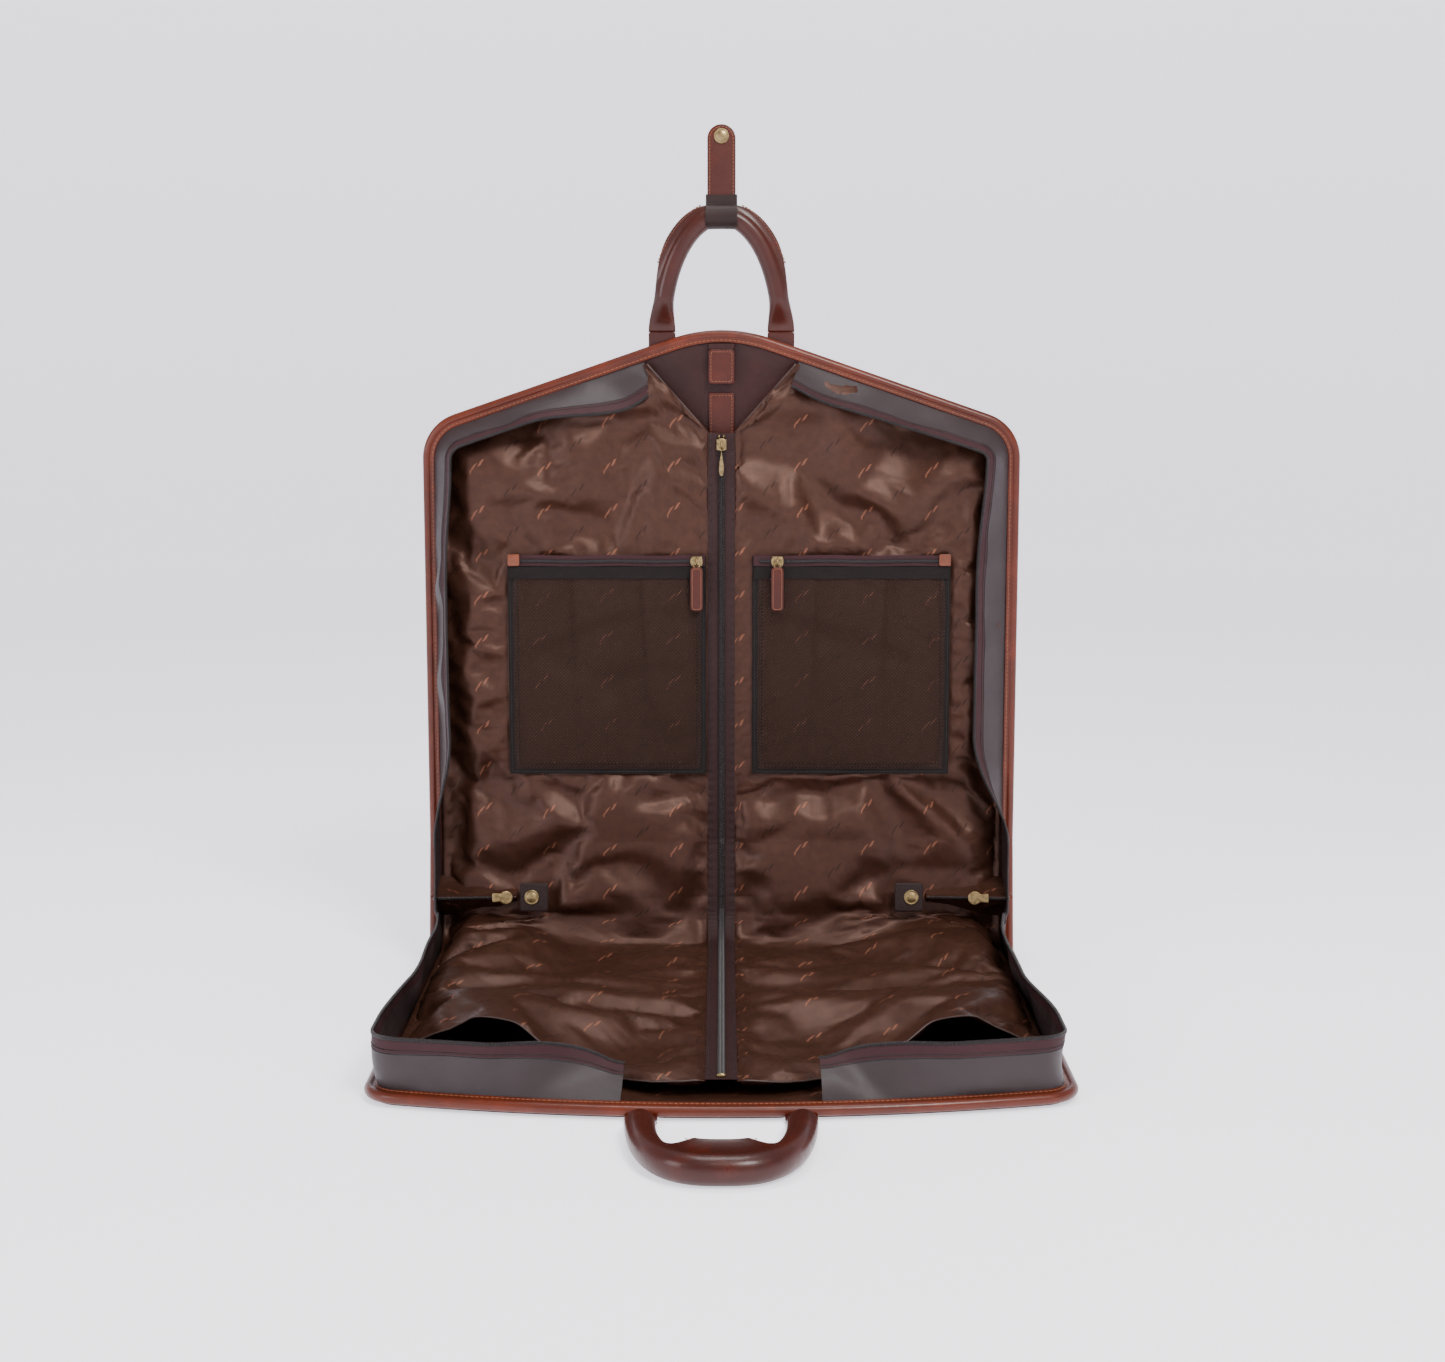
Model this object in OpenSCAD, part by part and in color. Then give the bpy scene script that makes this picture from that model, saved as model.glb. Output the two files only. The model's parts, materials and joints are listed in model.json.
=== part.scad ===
// Bi-fold leather suit carrier, open, with its lower half on the floor and its upper half upright.
// Three panels, lower, spine and upper, are joined by two folds that run across the bag.
// Each panel is drawn in its own frame: x across the bag, v away from the fold below it
// and n up from the inner face of its leather cover. The origin is on the lower cover's underside.

/* [Overall] */
// Width across the piping
bag_w = 580; // [480:1:700]
// Upper half, from the fold to the neck
upper_len = 500; // [460:1:600]
// Lower half, from the fold to the middle of the front rim
lower_len = 490; // [460:1:600]
// Spine, the thickness of the closed bag
spine_w = 114; // [112:1:140]
// Spine angle over the floor
spine_angle = 80; // [60:1:88]
// Upper half's angle over the floor
upper_angle = 90; // [80:1:95]

/* [Outline] */
// Shoulder corner radius
shoulder_r = 45; // [36:1:60]
// Neck radius
neck_r = 150; // [120:1:180]
// Shoulder slope
shoulder_slope = 19; // [14:0.5:24]
// Front corner radius
front_corner_r = 35; // [28:1:50]
// Front rim radius
front_r = 1125; // [900:5:1600]

/* [Panels] */
// Leather cover with its foam
cover_t = 4.2; // [3.6:0.1:6]
// Stiffening board
board_t = 1.6; // [1:0.1:3]
// Lining cloth
lining_t = 0.8; // [0.6:0.1:1.5]
// Leather facing and patches
facing_t = 1.4; // [1:0.1:2.5]
// Piping diameter
piping_d = 9; // [6:0.5:11]

/* [Side walls and curtain] */
// Nylon wall height
wall_h = 38; // [30:1:40]
// Nylon wall thickness
wall_t = 1; // [0.8:0.1:1.6]
// Inward lean of the walls
wall_lean = 14; // [8:1:20]
// Zip tape on top of the walls
tape_h = 8.7; // [6:0.1:9]
// Coil bead diameter
coil_d = 3; // [2.4:0.1:3.4]
// Half gap between the two walls at the neck
neck_gap = 75; // [60:1:110]
// Half gap between the two walls at the front
front_gap = 80; // [60:1:140]
// Curtain height over the covers
curtain_n = 22; // [18:1:24]
// Curtain thickness
curtain_t = 2.4; // [1.6:0.1:3]

/* [Pockets] */
// Pocket width
pocket_w = 192; // [150:1:200]
// Pocket height
pocket_h = 214; // [160:1:260]
// Inner edge of the left pocket from the centre
pocket_left_x = 15; // [15:1:30]
// Inner edge of the right pocket from the centre
pocket_right_x = 30; // [15:1:45]
// Pocket bottom above the fold
pocket_v = 70; // [60:1:120]
// Binding width
binding_w = 10; // [6:0.5:14]
// Leather pull length
pull_len = 48; // [30:1:60]

/* [Handles] */
// Half spacing of the upper handle's feet
upper_foot_x = 57.4; // [50:0.1:75]
// Upper handle height over its feet
upper_reach = 110; // [90:1:140]
// Upper handle roll radius
upper_roll_r = 9.5; // [8:0.5:11]
// Half spacing of the lower handle's feet
lower_foot_x = 63; // [55:0.5:80]
// Lower handle reach past its feet
lower_reach = 131; // [110:1:150]
// Lower handle roll radius
lower_roll_r = 12; // [10:0.5:13]
// Handle strap thickness at the feet
chape_t = 2.4; // [2:0.1:3.2]
// Handle strap width at the feet
foot_w = 26; // [20:1:32]
// Keeper strap length over the handle
keeper_len = 86; // [60:1:100]
// Keeper strap width
keeper_w = 27; // [20:1:30]

/* [Hidden] */
$fn = 48;
half_w = bag_w / 2;
gap = 0.3;
seam_gap = 0.1;

// Levels over a cover's inner face
board_n = seam_gap;
lining_n = board_n + board_t + seam_gap;
lining_top = lining_n + lining_t;
facing_n = lining_top + 0.2;
facing_top = facing_n + facing_t;
wall_n = lining_top + gap;
curtain_top = curtain_n + curtain_t;
piping_r = piping_d / 2;
piping_n = -cover_t + chape_t + gap + piping_r;

// Insets from the bag's outline
edge_in = piping_d + gap;
board_in = edge_in + 3;
wall_in = piping_d + 0.5 + wall_t / 2;
curtain_in = wall_in + (curtain_top - wall_n) * tan(wall_lean) + wall_t / 2 / cos(wall_lean) + gap;

// Starts beside a fold
cover_start = 0.45;
board_start = 3.5;
piping_start = (piping_n + piping_r) * tan(spine_angle / 2) + 1.7;
wall_start = 4;
curtain_start = 28;

// Where the folds lie in the world
fold_y = lower_len / 2;
fold_z = cover_t;

// Upper outline: its shoulder line is normal_x * x + normal_v * v = shoulder_c
normal_a = 90 - shoulder_slope;
neck_v = upper_len - neck_r;
shoulder_c = neck_v * sin(normal_a) + neck_r;
shoulder_v = (shoulder_c - shoulder_r - cos(normal_a) * (half_w - shoulder_r)) / sin(normal_a);

// Lower outline: a large front arc that runs into two corner arcs
front_v = lower_len - front_r;
corner_x = half_w - front_corner_r;
corner_v = front_v + sqrt(pow(front_r - front_corner_r, 2) - pow(corner_x, 2));
front_a = atan2(corner_v - front_v, corner_x);

// Centre zip
zip_half = 13;
coil_half = 3.2;
tape_n = curtain_n + 0.4;
coil_n = tape_n + 1.6;
coil_top = coil_n + 2.5;
upper_zip_end = upper_len - 98;
lower_zip_end = lower_len - 35;
centre_slider_v = upper_zip_end - 11;

// Snap tabs and tucks on the spine
mid_s = spine_w / 2;
tuck_half = 1.2;
tuck_in = 200;
tuck_out = half_w - piping_d - 1;
tuck_low_n = 34;
tuck_high_n = 50;
tuck_a = atan2(tuck_high_n - tuck_low_n, tuck_out - tuck_in);
bead_r = 1.6;
tab_axis_x = tuck_in - 1.8;
tab_axis_n = 32.5;
tab_r = 1.5;
tab_in = 170;
tab_h = 28;
snap_x = 186;
stud_head_r = 1.8;
side_slider_left_x = 212;
side_slider_right_x = 248;

// Pockets
binding_t = 2;
binding_n = curtain_top + gap;
mesh_n = binding_n + 6.3;
mesh_t = 1.2;
strip_n = binding_n + binding_t + gap;
pocket_coil_top = strip_n + 3.3;
pocket_top = pocket_v + pocket_h;
pocket_slider_left_x = 24;
pocket_slider_right_x = 54;

// Zip slider and pull
pin_h = 4.2;
pin_r = 0.8;
eye_r = 2;
eye_bore_r = 1.1;

// Hanger clasp
clasp_w = 25;
clasp_axis_v = upper_len - 20;
clasp_axis_n = 12.4;
clasp_r = 1.2;
clasp_len = 30;

// Handles
axis_n = -cover_t + 1.8;
foot_half_t = 1.2;
foot_swing_r = foot_half_t * sqrt(2);
upper_axis_v = upper_len - 2;
lower_axis_v = lower_len + 5;
chape_start = lower_len - 52;
roll_wall = 2.3;
sleeve_w = 20;
arch_drop = upper_reach * (1 - sqrt(1 - pow(sleeve_w / 2 / upper_foot_x, 2)));
keeper_axis_v = upper_axis_v + upper_reach - arch_drop / 2;
keeper_axis_n = -cover_t + upper_roll_r;
keeper_bore_r = upper_roll_r + arch_drop + 0.12;
keeper_r = keeper_bore_r + 2.2;
keeper_t = 3;
keeper_snap_v = keeper_axis_v + keeper_len - 11;
cap_r = 7.2;

leather = [0.40, 0.19, 0.13];
dark_leather = [0.24, 0.10, 0.09];
nylon = [0.29, 0.24, 0.24];
tape_colour = [0.31, 0.19, 0.20];
satin = [0.36, 0.23, 0.19];
mesh_colour = [0.22, 0.16, 0.14];
brass = [0.66, 0.58, 0.38];
board_colour = [0.45, 0.38, 0.30];

// ---- Panel frames ----

module in_lower() {
    translate([0, fold_y, fold_z]) mirror([0, 1, 0]) children();
}

module in_spine() {
    translate([0, fold_y, fold_z]) rotate([spine_angle, 0, 0]) children();
}

module in_upper() {
    translate([0, fold_y + spine_w * cos(spine_angle), fold_z + spine_w * sin(spine_angle)])
        rotate([upper_angle, 0, 0]) children();
}

module on_left() {
    mirror([1, 0, 0]) children();
}

// ---- Outlines ----

function arc(cx, cv, r, a0, a1, steps) =
    [for (i = [0:steps]) let (a = a0 + (a1 - a0) * i / steps) [cx + r * cos(a), cv + r * sin(a)]];

function mirror_back(p) = [for (i = [len(p) - 2:-1:0]) [-p[i][0], p[i][1]]];

// Right halves of the two edges at an inset, from v0 up the side to the centre
function upper_right(inset, v0) = concat(
    [[half_w - inset, v0]],
    arc(half_w - shoulder_r, shoulder_v, shoulder_r - inset, 0, normal_a, 8),
    arc(0, neck_v, neck_r - inset, normal_a, 90, 4));
function lower_right(inset, v0) = concat(
    [[half_w - inset, v0]],
    arc(corner_x, corner_v, front_corner_r - inset, 0, front_a, 8),
    arc(0, front_v, front_r - inset, front_a, 90, 8));
function upper_edge(inset, v0) = let (p = upper_right(inset, v0)) concat(p, mirror_back(p));
function lower_edge(inset, v0) = let (p = lower_right(inset, v0)) concat(p, mirror_back(p));

// v of the shoulder line at an inset
function shoulder_at(inset, x) = (shoulder_c - inset - cos(normal_a) * x) / sin(normal_a);

// Right wall paths, which stop at the gap in the middle
function upper_wall_path(inset) = concat(
    [[half_w - inset, wall_start]],
    arc(half_w - shoulder_r, shoulder_v, shoulder_r - inset, 0, normal_a, 8),
    [[neck_gap, shoulder_at(inset, neck_gap)]]);
function lower_wall_path(inset) = concat(
    [[half_w - inset, wall_start]],
    arc(corner_x, corner_v, front_corner_r - inset, 0, front_a, 8),
    arc(0, front_v, front_r - inset, front_a, acos(front_gap / (front_r - inset)), 6));

// ---- Sweeps ----

function unit(a) = a / norm(a);
function tangent(p, i) = unit(p[min(i + 1, len(p) - 1)] - p[max(i - 1, 0)]);

function cap(m) = [[for (k = [0:m - 1]) k]];
// Triangles across the end of a split tube, whose ring runs out along its skin and back inside
function strip_cap(m) = [for (k = [0:m / 2 - 2]) each [[k, k + 1, m - 2 - k], [k, m - 2 - k, m - 1 - k]]];

// Skin over rings of equal count, closed at both ends
module skin(rings, split = false) {
    m = len(rings[0]);
    last = (len(rings) - 1) * m;
    ends = split ? strip_cap(m) : cap(m);
    polyhedron(
        points = [for (r = rings) for (q = r) q],
        faces = concat(
            ends,
            [for (i = [0:len(rings) - 2]) for (k = [0:m - 1])
                let (a = i * m + k, b = i * m + (k + 1) % m) each [[a, a + m, b + m], [a, b + m, b]]],
            [for (f = ends) [for (k = [len(f) - 1:-1:0]) last + f[k]]]),
        convexity = 6);
}

// A section of [inward, n] points carried along a plan path that runs anticlockwise
module plan_sweep(path, section) {
    skin([for (i = [0:len(path) - 1])
        let (t = tangent(path, i), inward = [-t[1], t[0]])
        [for (q = section) [path[i][0] + inward[0] * q[0], path[i][1] + inward[1] * q[0], q[1]]]]);
}

function round_section(r, sides, w, n) =
    [for (k = [0:sides - 1]) let (a = -360 * (k + 0.5) / sides) [w + r * cos(a), n + r * sin(a)]];

// A leaning wall section from height h0 to h1
function lean_section(h0, h1, t) =
    let (c = cos(wall_lean), s = sin(wall_lean), d = t / 2)
    [[h0 * s - d * c, wall_n + h0 * c + d * s], [h1 * s - d * c, wall_n + h1 * c + d * s],
     [h1 * s + d * c, wall_n + h1 * c - d * s], [h0 * s + d * c, wall_n + h0 * c - d * s]];

module plate(points, n0, t) {
    translate([0, 0, n0]) linear_extrude(t) polygon(points);
}

module slab(x0, x1, v0, v1, n0, n1) {
    translate([x0, v0, n0]) cube([x1 - x0, v1 - v0, n1 - n0]);
}

// ---- Panels ----

module chape_pair(foot_x, end_v, clearance) {
    for (side = [-1, 1])
        slab(side * foot_x - foot_w / 2 - clearance, side * foot_x + foot_w / 2 + clearance,
            chape_start - clearance, end_v + clearance * 100, -cover_t - clearance,
            -cover_t + chape_t + clearance / 3);
}

module cover(points, foot_x) {
    color(leather) difference() {
        plate(points, -cover_t, cover_t);
        chape_pair(foot_x, upper_len, gap);
    }
}

module rim_piping(path) {
    color(leather) plan_sweep(path, round_section(piping_r, 12, 0, piping_n));
}

module wall(path) {
    color(nylon) plan_sweep(path, lean_section(0, wall_h, wall_t));
}

// Tape and coil along the top of a wall
module wall_zip(path) {
    top = wall_h + gap + tape_h + coil_d / 2;
    color(tape_colour) {
        plan_sweep(path, lean_section(wall_h + gap, wall_h + gap + tape_h, wall_t * 0.8));
        plan_sweep(path, round_section(coil_d / 2, 8, top * sin(wall_lean), wall_n + top * cos(wall_lean)));
    }
}

module handle_tabs(foot_x, axis_v) {
    color(leather) chape_pair(foot_x, axis_v - foot_swing_r - gap, 0);
}

module zip_run(v0, v1) {
    color(tape_colour) {
        slab(-zip_half, zip_half, v0, v1, tape_n, coil_n);
        slab(-coil_half, coil_half, v0, v1 - 6, coil_n, coil_top);
    }
}

// Lower half

module lower_cover() { in_lower() cover(lower_edge(edge_in, cover_start), lower_foot_x); }
module lower_board() { in_lower() color(board_colour) plate(lower_edge(board_in, board_start), board_n, board_t); }
module lower_lining() { in_lower() color(satin) plate(lower_edge(edge_in, board_start), lining_n, lining_t); }
module lower_piping() { in_lower() rim_piping(lower_edge(piping_r, piping_start)); }
module lower_gusset_right() { in_lower() wall(lower_wall_path(wall_in)); }
module lower_gusset_left() { in_lower() on_left() wall(lower_wall_path(wall_in)); }
module lower_zip_right() { in_lower() wall_zip(lower_wall_path(wall_in)); }
module lower_zip_left() { in_lower() on_left() wall_zip(lower_wall_path(wall_in)); }
module lower_handle_tabs() { in_lower() handle_tabs(lower_foot_x, lower_axis_v); }

// The curtain's free front edge dips back from the zip to the side walls
module lower_curtain() {
    x0 = zip_half + gap;
    x1 = half_w - curtain_in;
    color(satin) plate(
        [[x0, curtain_start], [x1, curtain_start], [x1, lower_len - 155], [x1 - 70, lower_len - 145],
         [x0 + 117, lower_len - 85], [x0 + 50, lower_len - 38], [x0, lower_zip_end]],
        curtain_n, curtain_t);
}
module lower_curtain_right() { in_lower() lower_curtain(); }
module lower_curtain_left() { in_lower() on_left() lower_curtain(); }
module lower_centre_zip() {
    in_lower() {
        zip_run(curtain_start, lower_zip_end);
        color(brass) slab(-coil_half, coil_half, lower_zip_end - 6, lower_zip_end - 2, coil_n, coil_top + 0.5);
    }
}

// Spine

module spine_cover() {
    in_spine() color(leather)
        slab(edge_in - half_w, half_w - edge_in, cover_start, spine_w - cover_start, -cover_t, 0);
}
module spine_lining() {
    in_spine() color(satin)
        slab(edge_in - half_w, half_w - edge_in, board_start, spine_w - board_start, seam_gap, seam_gap + lining_t);
}
module spine_piping() {
    in_spine() color(leather) for (side = [-1, 1])
        translate([side * (half_w - piping_r), cover_start, piping_n]) rotate([-90, 0, 0])
            cylinder(r = piping_r, h = spine_w - 2 * cover_start);
}
module spine_curtain() {
    in_spine() color(satin) for (side = [0, 1]) mirror([side, 0, 0])
        slab(zip_half + gap, tuck_in - gap, curtain_start + 2, spine_w - curtain_start - 2,
            curtain_n, curtain_top);
}
module spine_centre_zip() {
    in_spine() color(tape_colour) {
        slab(-zip_half, zip_half, curtain_start + 2, spine_w - curtain_start - 2, tape_n, coil_n);
        slab(-coil_half, coil_half, curtain_start + 2, spine_w - curtain_start - 2, coil_n, coil_top);
    }
}

// A folded web across the spine's end, with a coil bead along its sloping edge
module tuck() {
    in_spine() {
        color(nylon) translate([0, mid_s + tuck_half, 0]) rotate([90, 0, 0]) linear_extrude(2 * tuck_half)
            polygon([[tuck_in, curtain_n], [tuck_in, tuck_low_n], [tuck_out, tuck_high_n],
                [tuck_out, lining_t + 4 * seam_gap], [tuck_out - 18, lining_t + 4 * seam_gap]]);
        color(tape_colour) translate([tuck_in, mid_s, tuck_low_n]) rotate([0, 90 - tuck_a, 0])
            translate([0, 0, 3]) cylinder(r = bead_r, h = (tuck_out - tuck_in) / cos(tuck_a) - 6);
    }
}
module tuck_right() { tuck(); }
module tuck_left() { on_left() tuck(); }

module snap_studs() {
    in_spine() color(brass) for (side = [-1, 1]) translate([side * snap_x, mid_s, curtain_top + gap]) {
        cylinder(r = 4.5, h = 1);
        cylinder(r = 1.3, h = 4);
        translate([0, 0, 3]) cylinder(r = stud_head_r, h = 1.2);
    }
}

// Leather snap tab, hinged along its outer edge
module tab() {
    in_spine() color(dark_leather) difference() {
        union() {
            slab(tab_in, tab_axis_x, mid_s - tab_h / 2, mid_s + tab_h / 2, tab_axis_n - tab_r,
                tab_axis_n + tab_r);
            translate([tab_axis_x, mid_s - tab_h / 2, tab_axis_n]) rotate([-90, 0, 0])
                cylinder(r = tab_r, h = tab_h);
        }
        translate([snap_x, mid_s, tab_axis_n - 5]) cylinder(r = 1.9, h = 10);
    }
}
module tab_right() { tab(); }
module tab_left() { on_left() tab(); }

// Domed cap above the tab, post through it and hollow socket under it
module tab_snap() {
    top = tab_axis_n + tab_r;
    bottom = tab_axis_n - tab_r;
    in_spine() color(brass) translate([snap_x, mid_s, 0]) {
        translate([0, 0, top]) dome_cap();
        translate([0, 0, bottom - 1]) cylinder(r = 1.6, h = top - bottom + 1.5);
        difference() {
            translate([0, 0, bottom - 4.8]) cylinder(r = 4.6, h = 4.7);
            translate([0, 0, bottom - 5.8]) cylinder(r = 3, h = 4.4);
        }
    }
}
module dome_cap() {
    rotate_extrude() polygon(concat([[0, 0], [cap_r - 0.5, 0], [cap_r, 0.6]],
        [for (i = [1:5]) [cap_r * cos(i * 18), 0.8 + 1.9 * sin(i * 18)]]));
}
module tab_snap_right() { tab_snap(); }
module tab_snap_left() { on_left() tab_snap(); }

// Slider that runs on a tuck's bead, with a small fixed pull
module side_slider(at_x) {
    in_spine() color(brass)
        translate([at_x, mid_s, tuck_low_n + (at_x - tuck_in) * tan(tuck_a)]) rotate([0, -tuck_a, 0])
            difference() {
                union() {
                    slab(-6, 6, -4, 4, -2.6, 3);
                    slab(5, 14, -3, 3, 1.9, 3);
                }
                translate([-20, 0, 0]) rotate([0, 90, 0]) cylinder(r = bead_r + 0.4, h = 40);
                slab(-20, 20, -tuck_half - 0.4, tuck_half + 0.4, -6, 0);
            }
}
module side_slider_right() { side_slider(side_slider_right_x); }
module side_slider_left() { on_left() side_slider(side_slider_left_x); }

// Upper half

module upper_cover() { in_upper() cover(upper_edge(edge_in, cover_start), upper_foot_x); }
module upper_board() { in_upper() color(board_colour) plate(upper_edge(board_in, board_start), board_n, board_t); }
module upper_lining() { in_upper() color(satin) plate(upper_edge(edge_in, board_start), lining_n, lining_t); }
module upper_piping() { in_upper() rim_piping(upper_edge(piping_r, piping_start)); }
module upper_gusset_right() { in_upper() wall(upper_wall_path(wall_in)); }
module upper_gusset_left() { in_upper() on_left() wall(upper_wall_path(wall_in)); }
module upper_zip_right() { in_upper() wall_zip(upper_wall_path(wall_in)); }
module upper_zip_left() { in_upper() on_left() wall_zip(upper_wall_path(wall_in)); }
module upper_handle_tabs() { in_upper() handle_tabs(upper_foot_x, upper_axis_v); }

// The curtain's V opening runs from the zip's top stop to the shoulder
module upper_curtain() {
    x0 = zip_half + gap;
    v_x = neck_gap - 3;
    color(satin) plate(
        concat([[x0, curtain_start], [half_w - curtain_in, curtain_start]],
            arc(half_w - shoulder_r, shoulder_v, shoulder_r - curtain_in, 0, normal_a, 8),
            [[v_x, shoulder_at(curtain_in, v_x)], [x0, upper_zip_end]]),
        curtain_n, curtain_t);
}
module upper_curtain_right() { in_upper() upper_curtain(); }
module upper_curtain_left() { in_upper() on_left() upper_curtain(); }
module upper_centre_zip() {
    in_upper() {
        zip_run(curtain_start, upper_zip_end);
        color(brass) for (side = [-1, 1])
            slab(side * 2 - 1, side * 2 + 1, upper_zip_end - 4.5, upper_zip_end - 2, coil_n, coil_top);
    }
}

// Leather facing under the V, with the block that the hanger clasp is sewn to
module neck_facing() {
    half = neck_gap - 4;
    root_v = clasp_axis_v + clasp_r + 0.6;
    in_upper() color(dark_leather) {
        plate(concat([[-half, upper_zip_end - 10], [half, upper_zip_end - 10]],
            [for (x = [half, 48]) [x, shoulder_at(wall_in + 2, x)]],
            [for (x = [-48, -half]) [x, shoulder_at(wall_in + 2, -x)]]), facing_n, facing_t);
        slab(-clasp_w / 2, clasp_w / 2, root_v, root_v + 5, facing_n, clasp_axis_n - 1);
    }
}
module clasp_patch() {
    in_upper() color(leather)
        slab(-clasp_w / 2, clasp_w / 2, upper_zip_end - 22, upper_zip_end + 38, facing_top + seam_gap,
            facing_top + seam_gap + 2);
}

// Doubled strap, hinged at the neck, whose thick lower end closes a slot for hanger hooks
module hanger_clasp() {
    low = clasp_axis_v - clasp_len;
    in_upper() color(leather) {
        slab(-clasp_w / 2, clasp_w / 2, low, clasp_axis_v, clasp_axis_n - clasp_r, clasp_axis_n + clasp_r);
        slab(-clasp_w / 2, clasp_w / 2, low, low + 6, facing_top + 0.4, clasp_axis_n + clasp_r);
        translate([-clasp_w / 2, clasp_axis_v, clasp_axis_n]) rotate([0, 90, 0])
            cylinder(r = clasp_r, h = clasp_w);
    }
}

// Pockets are drawn on the right, from their inner edge outwards

module pocket_binding(x0) {
    in_upper() color(mesh_colour) difference() {
        slab(x0, x0 + pocket_w, pocket_v, pocket_top, binding_n, binding_n + binding_t);
        slab(x0 + binding_w, x0 + pocket_w - binding_w, pocket_v + binding_w, pocket_top - binding_w,
            binding_n - 1, binding_n + binding_t + 1);
    }
}
module pocket_binding_right() { pocket_binding(pocket_right_x); }
module pocket_binding_left() { on_left() pocket_binding(pocket_left_x); }

// Mesh bellows, open to the curtain behind and to the zip above
module pocket_mesh(x0) {
    edge = 3;
    in_upper() color(mesh_colour) difference() {
        slab(x0 + edge, x0 + pocket_w - edge, pocket_v + edge, pocket_top - binding_w, strip_n,
            mesh_n + mesh_t);
        slab(x0 + edge + 1, x0 + pocket_w - edge - 1, pocket_v + edge + 1, pocket_top, strip_n - 1, mesh_n);
    }
}
module pocket_mesh_right() { pocket_mesh(pocket_right_x); }
module pocket_mesh_left() { on_left() pocket_mesh(pocket_left_x); }

module pocket_zip(x0) {
    mid_v = pocket_top - 5;
    in_upper() color(tape_colour) {
        slab(x0 + 1, x0 + pocket_w - 1, pocket_top - binding_w + gap, pocket_top, strip_n, strip_n + 1);
        slab(x0 + 8, x0 + pocket_w - 4, mid_v - 1.5, mid_v + 1.5, strip_n + 1, pocket_coil_top);
    }
}
module pocket_zip_right() { pocket_zip(pocket_right_x); }
module pocket_zip_left() { on_left() pocket_zip(pocket_left_x); }

module pocket_end_tab(x0) {
    slab(x0 + pocket_w - 12, x0 + pocket_w - 1, pocket_top - binding_w + gap, pocket_top + 2, pocket_coil_top + gap,
        pocket_coil_top + gap + 1.5);
}
module pocket_end_tabs() {
    in_upper() color(leather) {
        pocket_end_tab(pocket_right_x);
        on_left() pocket_end_tab(pocket_left_x);
    }
}

// Slider over a coil whose top is at top_n; along_x turns its skirts to run across the bag
module zip_slider(at_x, at_v, top_n, along_x) {
    color(brass) translate([at_x, at_v, top_n]) {
        slab(-4.5, 4.5, -4.5, 4.5, gap, gap + 1.5);
        rotate([0, 0, along_x ? 90 : 0]) {
            for (side = [-1, 1]) slab(side * 4.1 - 0.4, side * 4.1 + 0.4, -5.5, 5.5, -1.6, gap + 1.5);
        }
        for (side = [-1, 1]) slab(side * 3 - 0.4, side * 3 + 0.4, -2, 2, gap + 1, pin_h + 1.2);
        translate([-3.2, 0, pin_h]) rotate([0, 90, 0]) cylinder(r = pin_r, h = 6.4);
    }
}
module centre_slider() { in_upper() zip_slider(0, centre_slider_v, coil_top, false); }
module pocket_slider_right() {
    in_upper() zip_slider(pocket_slider_right_x, pocket_top - 5, pocket_coil_top, true);
}
module pocket_slider_left() {
    in_upper() zip_slider(-pocket_slider_left_x, pocket_top - 5, pocket_coil_top, true);
}

// Pull that hangs from a slider's pin by a narrow eye
module zip_pull(at_x, at_v, top_n, w, len, t) {
    translate([at_x, at_v, top_n + pin_h]) difference() {
        union() {
            translate([-1.9, 0, 0]) rotate([0, 90, 0]) cylinder(r = eye_r, h = 3.8);
            slab(-1.9, 1.9, -7, 0, -0.8, 0.8);
            slab(-w / 2, w / 2, -len, -5.5, -t / 2, t / 2);
        }
        translate([-10, 0, 0]) rotate([0, 90, 0]) cylinder(r = eye_bore_r, h = 20);
    }
}
module centre_pull() { in_upper() color(brass) zip_pull(0, centre_slider_v, coil_top, 7, 30, 1.6); }
module pocket_pull_right() {
    in_upper() color(leather)
        zip_pull(pocket_slider_right_x, pocket_top - 5, pocket_coil_top, 12, pull_len, 2.5);
}
module pocket_pull_left() {
    in_upper() color(leather)
        zip_pull(-pocket_slider_left_x, pocket_top - 5, pocket_coil_top, 12, pull_len, 2.5);
}

// ---- Handles ----

function smooth(t) = let (c = min(max(t, 0), 1)) c * c * (3 - 2 * c);

// Plan route of a handle at an angle from 0 at one foot to 180 at the other. The squareness
// makes it an arch at 1 and flattens its grip below 1.
function handle_x(foot_x, a, square) = foot_x * sign(cos(a)) * pow(abs(cos(a)), square);
function handle_v(axis_v, reach, a, square) = axis_v + reach * pow(abs(sin(a)), square);

// A handle's section at an angle: [centre, inward direction, half width, half thickness]
function handle_at(foot_x, axis_v, reach, r, square, a) =
    let (x = handle_x(foot_x, a, square), v = handle_v(axis_v, reach, a, square),
        dx = handle_x(foot_x, a + 0.5, square) - handle_x(foot_x, a - 0.5, square),
        dv = handle_v(axis_v, reach, a + 0.5, square) - handle_v(axis_v, reach, a - 0.5, square),
        t = (a < 0.5) ? [0, 1] : (a > 179.5) ? [0, -1] : unit([dx, dv]),
        k = smooth((v - axis_v) / 34))
    [[x, v, axis_n + (-cover_t + r - axis_n) * k], [-t[1], t[0], 0],
     foot_w / 2 + (r - foot_w / 2) * k, foot_half_t + (r - foot_half_t) * k];

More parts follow.
